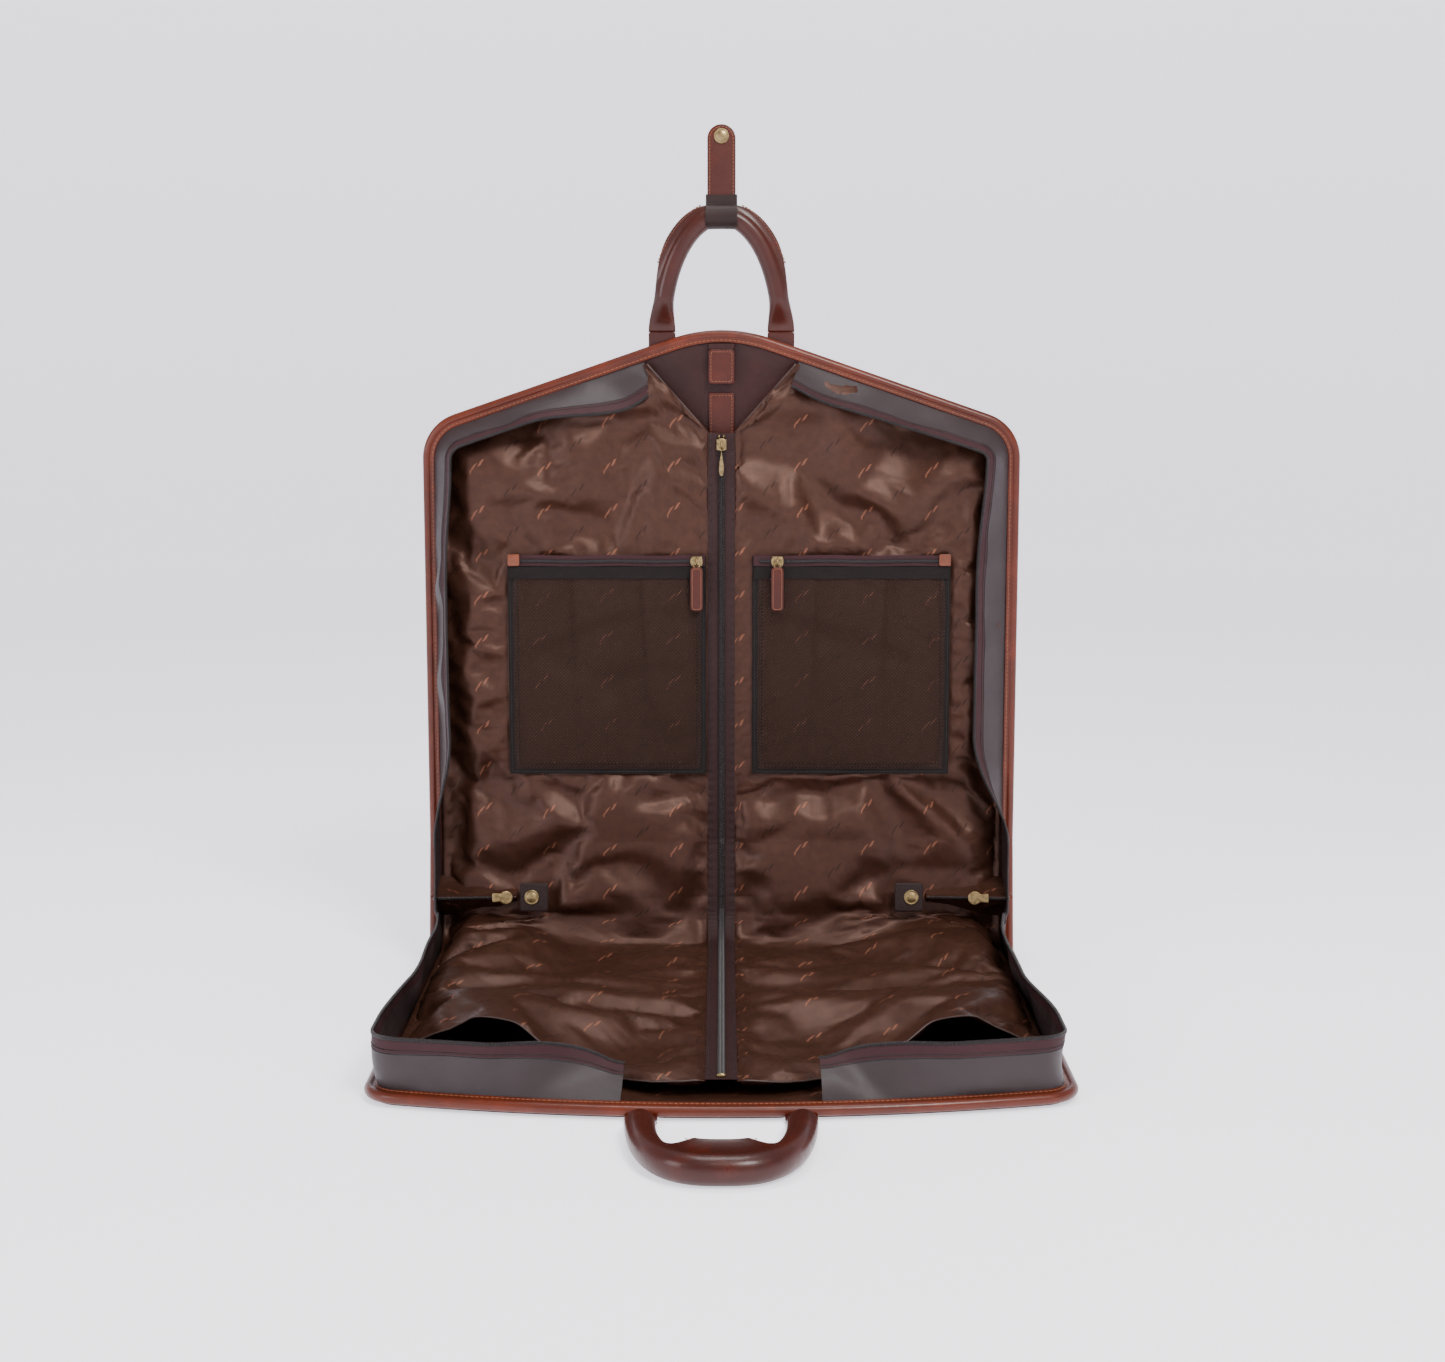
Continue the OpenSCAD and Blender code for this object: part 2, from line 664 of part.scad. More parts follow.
// Ring of points round a handle's section, and the ring of its leather split along the inner seam
roll_angles = [for (j = [0:11]) 30 * j + 15];
split_angles = concat([5], roll_angles, [355]);
function roll_point(h, inset, s) =
    h[0] + h[1] * (h[2] - inset) * cos(s) - [0, 0, (h[3] - inset) * sin(s)];
function roll_ring(h, inset) = [for (s = roll_angles) roll_point(h, inset, s)];
function split_ring(h) = concat([for (s = split_angles) roll_point(h, 0, s)],
    [for (i = [len(split_angles) - 1:-1:0]) roll_point(h, roll_wall, split_angles[i])]);

foot_steps = [0, 2.5, 5, 7.5, 10, 13, 16, 20, 25, 30.9];
roll_steps = [31, 38, 46, 55, 65, 75, 85];
core_steps = [for (a = roll_steps) if (a > 31) a];
function both_ways(steps) = concat(steps, [for (i = [len(steps) - 1:-1:0]) 180 - steps[i]]);

// Leather split along its inner seam, with solid feet that end a little behind the hinge axis
module handle_leather(foot_x, axis_v, reach, r, square) {
    color(leather) {
        skin([for (a = both_ways(roll_steps)) split_ring(handle_at(foot_x, axis_v, reach, r, square, a))],
            split = true);
        for (side = [0, 1]) mirror([side, 0, 0])
            skin(concat([[for (q = foot_ring(foot_x, axis_v, reach, r, square, 0)) q - [0, foot_half_t, 0]]],
                [for (a = foot_steps) foot_ring(foot_x, axis_v, reach, r, square, a)]));
    }
}
function foot_ring(foot_x, axis_v, reach, r, square, a) =
    roll_ring(handle_at(foot_x, axis_v, reach, r, square, a), 0);
module handle_core(foot_x, axis_v, reach, r, square) {
    color(board_colour) skin([for (a = both_ways(core_steps))
        roll_ring(handle_at(foot_x, axis_v, reach, r, square, a), roll_wall + gap)]);
}

arch = 1;
grip = 0.72;
module upper_handle_leather() {
    in_upper() handle_leather(upper_foot_x, upper_axis_v, upper_reach, upper_roll_r, arch);
}
module upper_handle_core() {
    in_upper() handle_core(upper_foot_x, upper_axis_v, upper_reach, upper_roll_r, arch);
}
module lower_handle_leather() {
    in_lower() handle_leather(lower_foot_x, lower_axis_v, lower_reach, lower_roll_r, grip);
}
module lower_handle_core() {
    in_lower() handle_core(lower_foot_x, lower_axis_v, lower_reach, lower_roll_r, grip);
}

// Keeper strap with a sleeve that turns on the upper handle's roll
module keeper_strap() {
    in_upper() color(leather) difference() {
        union() {
            translate([-sleeve_w / 2, keeper_axis_v, keeper_axis_n]) rotate([0, 90, 0])
                cylinder(r = keeper_r, h = sleeve_w);
            slab(-keeper_w / 2, keeper_w / 2, keeper_axis_v + keeper_r - 1.2,
                keeper_axis_v + keeper_len - keeper_w / 2, keeper_axis_n - keeper_t / 2,
                keeper_axis_n + keeper_t / 2);
            translate([0, keeper_axis_v + keeper_len - keeper_w / 2, keeper_axis_n - keeper_t / 2])
                cylinder(r = keeper_w / 2, h = keeper_t);
        }
        translate([-sleeve_w, keeper_axis_v, keeper_axis_n]) rotate([0, 90, 0])
            cylinder(r = keeper_bore_r, h = 2 * sleeve_w);
        translate([0, keeper_snap_v, keeper_axis_n - 5]) cylinder(r = 1.9, h = 10);
    }
}
module keeper_snap() {
    in_upper() color(brass) translate([0, keeper_snap_v, keeper_axis_n]) {
        translate([0, 0, keeper_t / 2]) dome_cap();
        translate([0, 0, -keeper_t / 2 - 0.5]) cylinder(r = 1.6, h = keeper_t + 1);
        difference() {
            translate([0, 0, -keeper_t / 2 - 3]) cylinder(r = 4.6, h = 3);
            translate([0, 0, -keeper_t / 2 - 4]) cylinder(r = 3, h = 3);
        }
    }
}

lower_cover();
lower_board();
lower_lining();
lower_piping();
lower_gusset_left();
lower_gusset_right();
lower_zip_left();
lower_zip_right();
lower_curtain_left();
lower_curtain_right();
lower_centre_zip();
lower_handle_tabs();
spine_cover();
spine_lining();
spine_piping();
spine_curtain();
spine_centre_zip();
tuck_left();
tuck_right();
snap_studs();
upper_cover();
upper_board();
upper_lining();
upper_piping();
upper_gusset_left();
upper_gusset_right();
upper_zip_left();
upper_zip_right();
upper_curtain_left();
upper_curtain_right();
upper_centre_zip();
neck_facing();
clasp_patch();
pocket_mesh_left();
pocket_mesh_right();
pocket_binding_left();
pocket_binding_right();
pocket_zip_left();
pocket_zip_right();
pocket_end_tabs();
upper_handle_tabs();
upper_handle_leather();
upper_handle_core();
lower_handle_leather();
lower_handle_core();
keeper_strap();
keeper_snap();
hanger_clasp();
centre_slider();
centre_pull();
side_slider_left();
side_slider_right();
tab_left();
tab_right();
tab_snap_left();
tab_snap_right();
pocket_slider_left();
pocket_slider_right();
pocket_pull_left();
pocket_pull_right();
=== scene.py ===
"""A bi-fold leather suit carrier, open: upper half upright, lower half on the floor, a soft spine between.

Every piece is worked out on one continuous strip. x runs across the bag, t runs along it from the front rim
(negative) over the lower fold (t = 0) and up the spine to the upper half, and n is the height over the inner
face of the leather. Bag.at turns (x, t, n) into a point in space, so sheets run smoothly through both folds.
"""

import json
import logging
import math
from dataclasses import dataclass, field
from enum import Enum
from typing import Callable, Sequence

import bpy
import bmesh
import numpy as np
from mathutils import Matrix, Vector


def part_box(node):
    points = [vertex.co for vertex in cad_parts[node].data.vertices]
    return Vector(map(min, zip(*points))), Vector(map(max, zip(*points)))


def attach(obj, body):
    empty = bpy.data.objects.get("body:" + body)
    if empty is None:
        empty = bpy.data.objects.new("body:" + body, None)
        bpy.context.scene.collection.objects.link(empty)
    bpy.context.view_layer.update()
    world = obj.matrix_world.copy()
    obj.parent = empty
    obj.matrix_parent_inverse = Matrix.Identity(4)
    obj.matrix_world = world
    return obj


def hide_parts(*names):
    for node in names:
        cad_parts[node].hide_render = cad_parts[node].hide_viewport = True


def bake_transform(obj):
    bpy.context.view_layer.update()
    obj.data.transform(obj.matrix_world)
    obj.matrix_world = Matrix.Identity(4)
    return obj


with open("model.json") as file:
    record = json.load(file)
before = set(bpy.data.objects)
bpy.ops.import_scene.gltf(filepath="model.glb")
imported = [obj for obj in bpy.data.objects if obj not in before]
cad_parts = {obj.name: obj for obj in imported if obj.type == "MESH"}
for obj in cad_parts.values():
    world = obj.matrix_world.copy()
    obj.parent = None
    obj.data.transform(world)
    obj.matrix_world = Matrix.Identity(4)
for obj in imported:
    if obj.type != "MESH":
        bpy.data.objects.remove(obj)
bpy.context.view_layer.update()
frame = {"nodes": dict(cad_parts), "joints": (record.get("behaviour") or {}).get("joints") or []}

LOG = logging.getLogger("suit_carrier")
MM = 0.001
UPRIGHT = np.array([1.0, 0.0, 0.0])

Array = np.ndarray
Objects = list[bpy.types.Object]


class Side(Enum):
    """Which end of the bag's width a piece stands at."""

    LEFT = -1
    RIGHT = 1

    @property
    def word(self) -> str:
        """The side's name in a piece's name."""
        return self.name.lower()


class Half(Enum):
    """Which half of the bag a piece belongs to."""

    LOWER = "lower"
    UPPER = "upper"

    @property
    def body(self) -> str:
        """The CAD body of this half."""
        return f"{self.value}_half"

    @property
    def reach(self) -> float:
        """The reach handed to bend for a piece of the curtain or its zip."""
        return (40 if self is Half.LOWER else 30) * MM


# ---- Small numeric helpers ----


def smooth(value: Array | float, low: float = 0.0, high: float = 1.0) -> Array:
    """Smoothstep: 0 below low, 1 above high, and 3k squared minus 2k cubed between.

    Args:
        value: where to read it.
        low: where the rise starts.
        high: where it ends.

    Returns:
        The smooth share, the shape of value.
    """
    k = np.clip((np.asarray(value, float) - low) / (high - low), 0.0, 1.0)
    return k * k * (3.0 - 2.0 * k)


def bump(value: Array, centre: float, width: float) -> Array:
    """A bell, exp of minus the squared distance to centre over width squared."""
    return np.exp(-(((np.asarray(value, float) - centre) / width) ** 2))


def unit(vectors: Array) -> Array:
    """Vectors over the last axis, each divided by its length."""
    length = np.linalg.norm(vectors, axis=-1, keepdims=True)
    return vectors / np.maximum(length, 1e-12)


def value_noise(u: Array, v: Array, seed: int) -> Array:
    """Smooth noise from -1 to 1: random values on a unit lattice, mixed with smoothstep weights.

    Args:
        u: first coordinate, in lattice cells.
        v: second coordinate, in lattice cells.
        seed: which lattice.

    Returns:
        The noise, the shape of u and v together.
    """
    table = np.random.default_rng(seed).uniform(-1.0, 1.0, (64, 64))
    u, v = np.broadcast_arrays(np.asarray(u, float), np.asarray(v, float))
    i, j = np.floor(u).astype(int), np.floor(v).astype(int)
    a, b = smooth(u - i), smooth(v - j)
    low = table[i % 64, j % 64] * (1 - a) + table[(i + 1) % 64, j % 64] * a
    high = table[i % 64, (j + 1) % 64] * (1 - a) + table[(i + 1) % 64, (j + 1) % 64] * a
    return low * (1 - b) + high * b


def creases(u: Array, v: Array, angle: float, pitch: float, seed: int) -> Array:
    """Long soft folds from -1 to 1: noise stretched six to one along a direction.

    Args:
        u: across, in metres.
        v: along, in metres.
        angle: the folds' direction from the u axis, in degrees.
        pitch: the mean distance between folds, in metres.
        seed: which pattern.

    Returns:
        The height of the folds, the shape of u and v together.
    """
    c, s = math.cos(math.radians(angle)), math.sin(math.radians(angle))
    along, across = u * c + v * s, v * c - u * s
    wander = 0.35 * pitch * value_noise(along / (3 * pitch), across / (3 * pitch), seed + 7)
    return value_noise(along / (6 * pitch), (across + wander) / pitch, seed)


def resample(points: Array, step: float) -> Array:
    """Points at equal distances along a polyline.

    Args:
        points: the polyline, one point a row.
        step: the distance wanted.

    Returns:
        Points about step apart, with both ends kept.
    """
    length = np.concatenate([[0.0], np.cumsum(np.linalg.norm(np.diff(points, axis=0), axis=1))])
    count = max(2, int(round(length[-1] / step)) + 1)
    where = np.linspace(0.0, length[-1], count)
    return np.stack([np.interp(where, length, points[:, k]) for k in range(points.shape[1])], axis=1)


def lengths(points: Array) -> Array:
    """The distance from the start along a polyline, at each of its points."""
    return np.concatenate([[0.0], np.cumsum(np.linalg.norm(np.diff(points, axis=0), axis=1))])


def arc(centre: tuple[float, float], radius: float, start: float, stop: float, count: int = 15) -> Array:
    """Points of a round arc, centre plus radius times cosine and sine of equal angle steps.

    Args:
        centre: its centre.
        radius: its radius.
        start: first angle, in degrees.
        stop: last angle, in degrees.
        count: how many points.

    Returns:
        The points, one a row.
    """
    angle = np.radians(np.linspace(start, stop, count))
    return np.stack([centre[0] + radius * np.cos(angle), centre[1] + radius * np.sin(angle)], axis=1)


# ---- The bag's strip ----


def joint_place(name: str) -> Array:
    """Where a joint of the frame is, in metres."""
    return np.array(next(j for j in frame["joints"] if j["name"] == name)["pos_m"], float)


@dataclass
class Bag:
    """The strip that every piece is laid out on, taken from the frame, with the outline's own radii."""

    fold_lower: Array = field(default_factory=lambda: joint_place("fold_lower"))
    fold_upper: Array = field(default_factory=lambda: joint_place("fold_upper"))
    shoulder_r: float = 45 * MM
    neck_r: float = 150 * MM
    slope: float = 19.0
    corner_r: float = 35 * MM
    front_r: float = 1125 * MM

    def __post_init__(self) -> None:
        """Works out the panels' directions and lengths from the joints and the boxes."""
        rise = self.fold_upper - self.fold_lower
        self.spine_w = float(np.linalg.norm(rise))
        self.fold_angle = math.atan2(rise[2], rise[1])
        self.rest_angle = math.pi / 2 - self.fold_angle
        self.half_w = float(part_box("upper_piping")[1][0])
        self.upper_len = float(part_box("upper_piping")[1][2]) - float(self.fold_upper[2])
        self.lower_len = float(self.fold_lower[1]) - float(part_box("lower_piping")[0][1])
        self.cover_t = float(self.fold_lower[2])
        self.mid = self.spine_w / 2
        self.neck_v = self.upper_len - self.neck_r
        normal = math.radians(90.0 - self.slope)
        self.shoulder_c = self.neck_v * math.sin(normal) + self.neck_r
        self.shoulder_v = (self.shoulder_c - self.shoulder_r
                           - math.cos(normal) * (self.half_w - self.shoulder_r)) / math.sin(normal)
        self.front_v = self.lower_len - self.front_r
        self.corner_x = self.half_w - self.corner_r
        self.corner_v = self.front_v + math.sqrt((self.front_r - self.corner_r) ** 2 - self.corner_x ** 2)
        self.front_a = math.degrees(math.atan2(self.corner_v - self.front_v, self.corner_x))

    def at(self, x: Array, t: Array, n: Array, round_r: float = 6 * MM) -> Array:
        """A point of the strip in space.

        Each fold is rounded: at height n its arc has the radius 12 mm less n, but no less than round_r, and
        t is spread evenly over the arc. Away from the folds the point lies in the panel's own plane.

        Args:
            x: across the bag.
            t: along the strip from the lower fold, negative on the lower half.
            n: height over the leather's inner face.
            round_r: the least radius of the rounding.

        Returns:
            The points, with the coordinates on the last axis.
        """
        x, t, n = np.broadcast_arrays(np.asarray(x, float), np.asarray(t, float), np.asarray(n, float))
        radius = np.maximum(12 * MM - n, round_r)
        y, z = self._bend(t, n, radius, self.fold_angle)
        y2, z2 = self._bend(t - self.spine_w, n, radius, self.rest_angle)
        c, s = math.cos(self.fold_angle), math.sin(self.fold_angle)
        upper = t > self.spine_w / 2
        over_y = self.fold_upper[1] + y2 * c - z2 * s
        over_z = self.fold_upper[2] + y2 * s + z2 * c
        return np.stack([x, np.where(upper, over_y, self.fold_lower[1] + y),
                         np.where(upper, over_z, self.fold_lower[2] + z)], axis=-1)

    @staticmethod
    def _bend(t: Array, n: Array, radius: Array, angle: float) -> tuple[Array, Array]:
        """The (along, up) place of a strip that turns up by angle at t = 0, seen from the side.

        Before the arc it is (t, n). The arc's centre is (-a, n + radius), where a is n plus radius times the
        tangent of half the angle, and past the arc the point is (t, n) turned by the angle.
        """
        reach = (n + radius) * math.tan(angle / 2)
        turn = np.clip((t + reach) / (2 * reach), 0.0, 1.0) * angle
        c, s = math.cos(angle), math.sin(angle)
        before, after = t < -reach, t > reach
        y = np.where(before, t, np.where(after, t * c - n * s, -reach + radius * np.sin(turn)))
        z = np.where(before, n, np.where(after, t * s + n * c, n + radius - radius * np.cos(turn)))
        return y, z

    def t_of(self, half: Half, v: Array | float) -> Array:
        """Strip coordinate of a distance v from the fold of a half."""
        return -np.asarray(v, float) if half is Half.LOWER else self.spine_w + np.asarray(v, float)

    def edge(self, half: Half, inset: float, stop_x: float = 0.0, start_t: float | None = None,
             step: float = 4 * MM) -> Array:
        """The right edge of a half at an inset, from the spine's middle round to x = stop_x.

        Args:
            half: which half.
            inset: how far inside the outline.
            stop_x: where the edge stops, 0 at the middle of the bag.
            start_t: where it starts, the spine's middle if None.
            step: the distance between points.

        Returns:
            Points (x, t), evenly spaced.
        """
        start = self.mid if start_t is None else start_t
        if half is Half.LOWER:
            corner = arc((self.corner_x, self.corner_v), self.corner_r - inset, 0.0, self.front_a)
            stop = math.degrees(math.acos(stop_x / (self.front_r - inset)))
            front = arc((0.0, self.front_v), self.front_r - inset, self.front_a, stop, 40)
            v = np.concatenate([corner, front[1:]])
        else:
            normal = 90.0 - self.slope
            centre = (self.half_w - self.shoulder_r, self.shoulder_v)
            corner = arc(centre, self.shoulder_r - inset, 0.0, normal)
            neck = arc((0.0, self.neck_v), self.neck_r - inset, normal, 90.0, 15)
            v = np.concatenate([corner, neck])
            if stop_x > 0:
                first = int(np.argmax(v[:, 0] <= stop_x))
                share = (v[first - 1, 0] - stop_x) / (v[first - 1, 0] - v[first, 0])
                v = np.concatenate([v[:first], [v[first - 1] + share * (v[first] - v[first - 1])]])
        path = np.stack([v[:, 0], self.t_of(half, v[:, 1])], axis=1)
        path = np.concatenate([[[self.half_w - inset, start]], path])
        return resample(path, step)

    def v_top(self, inset: float, x: Array) -> Array:
        """How far the upper outline reaches at x, at an inset."""
        path = self.edge(Half.UPPER, inset, step=2 * MM)
        keep = path[:, 1] > self.spine_w + self.shoulder_v
        return np.interp(np.abs(x), path[keep, 0][::-1], path[keep, 1][::-1]) - self.spine_w

    def v_front(self, inset: float, x: Array) -> Array:
        """How far the lower outline reaches at x, at an inset."""
        path = self.edge(Half.LOWER, inset, step=2 * MM)
        keep = path[:, 1] < -self.corner_v
        return -np.interp(np.abs(x), path[keep, 0][::-1], path[keep, 1][::-1])


BAG = Bag()


# ---- Making meshes ----


def make_piece(name: str, points: Array, faces: Array, uv: Array | None = None,
               marks: Array | None = None, flat: Array | None = None) -> bpy.types.Object:
    """A mesh object at the origin, smooth, with its faces turned outwards.

    Args:
        name: the piece's name.
        points: its vertices, one a row.
        faces: vertex numbers, four or three a row.
        uv: a texture place for each vertex, in metres.
        marks: the number of the finish of each face.
        flat: which faces keep a crisp edge to their neighbours.

    Returns:
        The object.
    """
    mesh = bpy.data.meshes.new(name)
    mesh.from_pydata(points.tolist(), [], faces.tolist())
    if uv is not None:
        layer = mesh.uv_layers.new(name="UVMap")
        corner = np.empty(len(mesh.loops), np.int32)
        mesh.loops.foreach_get("vertex_index", corner)
        layer.data.foreach_set("uv", uv[corner].astype(np.float32).ravel())
    if marks is not None:
        mesh.polygons.foreach_set("material_index", marks.astype(np.int32))
    soft = np.ones(len(mesh.polygons), bool)
    if flat is not None:
        soft[flat] = False
    mesh.polygons.foreach_set("use_smooth", soft)
    work = bmesh.new()
    work.from_mesh(mesh)
    bmesh.ops.recalc_face_normals(work, faces=work.faces)
    work.to_mesh(mesh)
    work.free()
    piece = bpy.data.objects.new(name, mesh)
    bpy.context.scene.collection.objects.link(piece)
    return piece


def grid_faces(rows: int, cols: int, wrap: bool = False) -> Array:
    """The quads of a grid of rows by cols points, closed across the columns if wrap."""
    i = np.arange(rows - 1)[:, None]
    j = np.arange(cols if wrap else cols - 1)[None, :]
    k = (j + 1) % cols
    near, far = i * cols, (i + 1) * cols
    return np.stack([near + j, near + k, far + k, far + j], axis=-1).reshape(-1, 4)


def tube_mesh(rings: Array) -> tuple[Array, Array, Array]:
    """A closed tube over rings, with a fan to a middle point over each end.

    Args:
        rings: ring, point on the ring, coordinate.

    Returns:
        Its points, the faces along it and the triangles over its ends.
    """
    rows, cols = rings.shape[:2]
    points = np.concatenate([rings.reshape(-1, 3), rings[:1].mean(axis=1), rings[-1:].mean(axis=1)])
    j = np.arange(cols)
    k = (j + 1) % cols
    first, last = rows * cols, (rows - 1) * cols
    ends = np.concatenate([np.stack([np.full(cols, first), k, j], axis=1),
                           np.stack([np.full(cols, first + 1), last + j, last + k], axis=1)])
    return points, grid_faces(rows, cols, wrap=True), ends


def tube(name: str, rings: Array, uv: Array | None = None, marks: Array | None = None) -> bpy.types.Object:
    """A closed tube over rings of points, as one piece.

    Args:
        name: the piece's name.
        rings: ring, point on the ring, coordinate.
        uv: a texture place for each ring point.
        marks: the finish of each column of faces round the ring.

    Returns:
        The object.
    """
    points, sides, ends = tube_mesh(rings)
    mesh_faces = sides.tolist() + ends.tolist()
    flat_uv = None
    if uv is not None:
        flat_uv = np.concatenate([uv.reshape(-1, 2), uv[:1].mean(axis=1), uv[-1:].mean(axis=1)])
    all_marks = None
    if marks is not None:
        all_marks = np.concatenate([np.tile(marks, len(rings) - 1), np.zeros(len(ends), int)])
    return make_piece(name, points, _Ragged(mesh_faces), flat_uv, all_marks)


class _Ragged(list):
    """Faces of mixed sizes, which answer tolist as an array does."""

    def tolist(self) -> list:
        """The faces themselves."""
        return list(self)


def grid_normals(points: Array) -> Array:
    """Unit normals of a grid: the cross product of its two directions' differences."""
    return unit(np.cross(np.gradient(points, axis=0), np.gradient(points, axis=1)))


def shell_rings(points: Array, thickness: Array | float) -> Array:
    """A grid turned into rings: each row runs out over the top skin and back under it.

    Args:
        points: the middle surface.
        thickness: the distance between the skins.

    Returns:
        Rings of twice as many points.
    """
    offset = grid_normals(points) * (np.asarray(thickness, float)[..., None] / 2 if np.ndim(thickness) else
                                     thickness / 2)
    return np.concatenate([points + offset, (points - offset)[:, ::-1]], axis=1)


def edge_rows(grid: Array) -> Array:
    """A grid with one more row close inside its first row and its last, which keeps its shading even."""
    first = grid[:1] * 0.97 + grid[1:2] * 0.03
    last = grid[-1:] * 0.97 + grid[-2:-1] * 0.03
    return np.concatenate([grid[:1], first, grid[1:-1], last, grid[-1:]])


def shell(name: str, points: Array, thickness: Array | float, uv: Array, marks: Array | None = None
          ) -> bpy.types.Object:
    """A closed sheet: two skins of a grid, with their rims joined by strips.

    Args:
        name: the piece's name.
        points: the middle surface, rows by columns.
        thickness: the distance between the skins.
        uv: texture places, rows by columns, in metres.
        marks: the finish of each column of faces round the ring, top skin, rim, bottom skin, rim.

    Returns:
        The object.
    """
    thickness = np.broadcast_to(np.asarray(thickness, float), points.shape[:2])
    points, uv, thickness = (edge_rows(grid) for grid in (points, uv, thickness))
    if marks is None:
        points, uv, thickness = (edge_rows(grid.swapaxes(0, 1)).swapaxes(0, 1)
                                 for grid in (points, uv, thickness))
    rings = shell_rings(points, thickness)
    rows, cols = rings.shape[:2]
    half = cols // 2
    j = np.arange(half - 1)
    across = np.stack([j, j + 1, cols - 2 - j, cols - 1 - j], axis=1)
    ends = [row * cols + across for row in (0, rows - 1)]
    faces = np.concatenate([grid_faces(rows, cols, wrap=True), *ends])
    column = np.arange((rows - 1) * cols) % cols
    rims = np.concatenate([(column == half - 1) | (column == cols - 1), np.ones(2 * (half - 1), bool)])
    all_marks = None
    if marks is not None:
        all_marks = np.concatenate([np.tile(marks, rows - 1), np.zeros(2 * (half - 1), int)])
    flat_uv = np.concatenate([uv, uv[:, ::-1]], axis=1).reshape(-1, 2)
    return make_piece(name, rings.reshape(-1, 3), faces, flat_uv, all_marks, rims)


def copies(name: str, shape: tuple[Array, Array], centre: Array, along: Array, up: Array) -> bpy.types.Object:
    """One small shape repeated over many places.

    Each copy's own x, y and z run along, up cross along, and up.

    Args:
        name: the piece's name.
        shape: the small shape's points and faces.
        centre: where each copy stands.
        along: each copy's x direction.
        up: each copy's z direction.

    Returns:
        The object that holds all copies.
    """
    points, faces = shape
    along = unit(along)
    across = unit(np.cross(up, along))
    up = np.cross(along, across)
    placed = (centre[:, None] + points[None, :, :1] * along[:, None] + points[None, :, 1:2] * across[:, None]
              + points[None, :, 2:] * up[:, None])
    every = faces[None] + (np.arange(len(centre)) * len(points))[:, None, None]
    return make_piece(name, placed.reshape(-1, 3), every.reshape(-1, faces.shape[1]))


def block_shape(size: tuple[float, float, float], taper: float = 0.7, sides: int = 8) -> tuple[Array, Array]:
    """A rounded block of four rings of points along x, whose end rings shrink by taper.

    Args:
        size: its length, width and height.
        taper: the end rings' share of the middle one's width and height.
        sides: the points of a ring, eight or four.

    Returns:
        Its points and its faces.
    """
    angle = np.radians((np.arange(sides) + 0.5) * 360.0 / sides)
    ring = np.stack([np.zeros(sides), np.cos(angle) / 2, np.sin(angle) / 2], axis=1)
    rings = np.stack([ring * [0, k, k] + [x, 0, 0]
                      for x, k in ((-0.5, 0.45), (-0.3, taper + 0.25), (0.3, taper + 0.25), (0.5, 0.45))])
    points = rings.reshape(-1, 3) * np.array(size)
    quads = grid_faces(4, sides, wrap=True)
    caps = np.array([[0, 1, 2, 3], [0, 3, 4, 7], [4, 5, 6, 7]] if sides == 8 else [[0, 1, 2, 3]])
    return points, np.concatenate([quads, caps[:, ::-1], caps + 3 * sides])


def lathe(name: str, profile: Array, centre: Array, axis: Array, turns: int = 40) -> bpy.types.Object:
    """A profile of (radius, height) turned round an axis and closed at both ends.

    Args:
        name: the piece's name.
        profile: radius and height, from the bottom out and up to the top.
        centre: where height 0 is.
        axis: the direction of height.
        turns: points round it.

    Returns:
        The object.
    """
    axis = unit(np.asarray(axis, float))
    side = unit(np.cross(axis, UPRIGHT if abs(axis[0]) < 0.9 else np.array([0.0, 1.0, 0.0])))
    other = np.cross(axis, side)
    angle = np.linspace(0, 2 * math.pi, turns, endpoint=False)
    ring = np.cos(angle)[:, None] * side + np.sin(angle)[:, None] * other
    rings = centre + profile[:, None, :1] * ring[None] + profile[:, None, 1:] * axis
    return tube(name, rings)


def sweep_edge(path: Array, section: Array, turn: int, round_r: float = 6 * MM) -> Array:
    """Rings of a section carried along a path on the strip.

    Args:
        path: points (x, t).
        section: for each ring point, how far inwards of the path and how high, alike or row by row.
        turn: 1 if inwards is to the left of the path, -1 if to the right.
        round_r: the least radius in the folds.

    Returns:
        Ring, point on the ring, coordinate.
    """
    tangent = unit(np.gradient(path, axis=0))
    inward = turn * np.stack([-tangent[:, 1], tangent[:, 0]], axis=1)
    if section.ndim == 2:
        section = np.broadcast_to(section, (len(path), *section.shape))
    x = path[:, :1] + inward[:, :1] * section[..., 0]
    t = path[:, 1:] + inward[:, 1:] * section[..., 0]
    return BAG.at(x, t, section[..., 1], round_r)


def stitch_row(name: str, line: Array, up: Array, pitch: float = 4.2 * MM, length: float = 3.0 * MM,
               width: float = 0.75 * MM) -> bpy.types.Object:
    """A row of thread stitches that lie along a line.

    Args:
        name: the piece's name.
        line: points in space along the seam.
        up: the surface's direction at each of them.
        pitch: from one stitch to the next.
        length: a stitch's length.
        width: a stitch's width.

    Returns:
        The object.
    """
    even = resample(np.concatenate([line, up], axis=1), pitch)
    place, normal = even[:, :3], unit(even[:, 3:])
    middle = (place[1:] + place[:-1]) / 2
    shape = block_shape((length * 1.12, width * 1.35, width), sides=4)
    return copies(name, shape, middle, np.diff(place, axis=0), (normal[1:] + normal[:-1]) / 2)


def joined(name: str, parts: Objects) -> bpy.types.Object:
    """Several objects made into one piece, with its first part's finishes kept.

    Args:
        name: the piece's name.
        parts: what goes into it.

    Returns:
        The object.
    """
    with bpy.context.temp_override(active_object=parts[0], selected_editable_objects=parts,
                                   selected_objects=parts):
        bpy.ops.object.join()
    parts[0].name = name
    parts[0].data.name = name
    return parts[0]


# ---- Shader groups ----


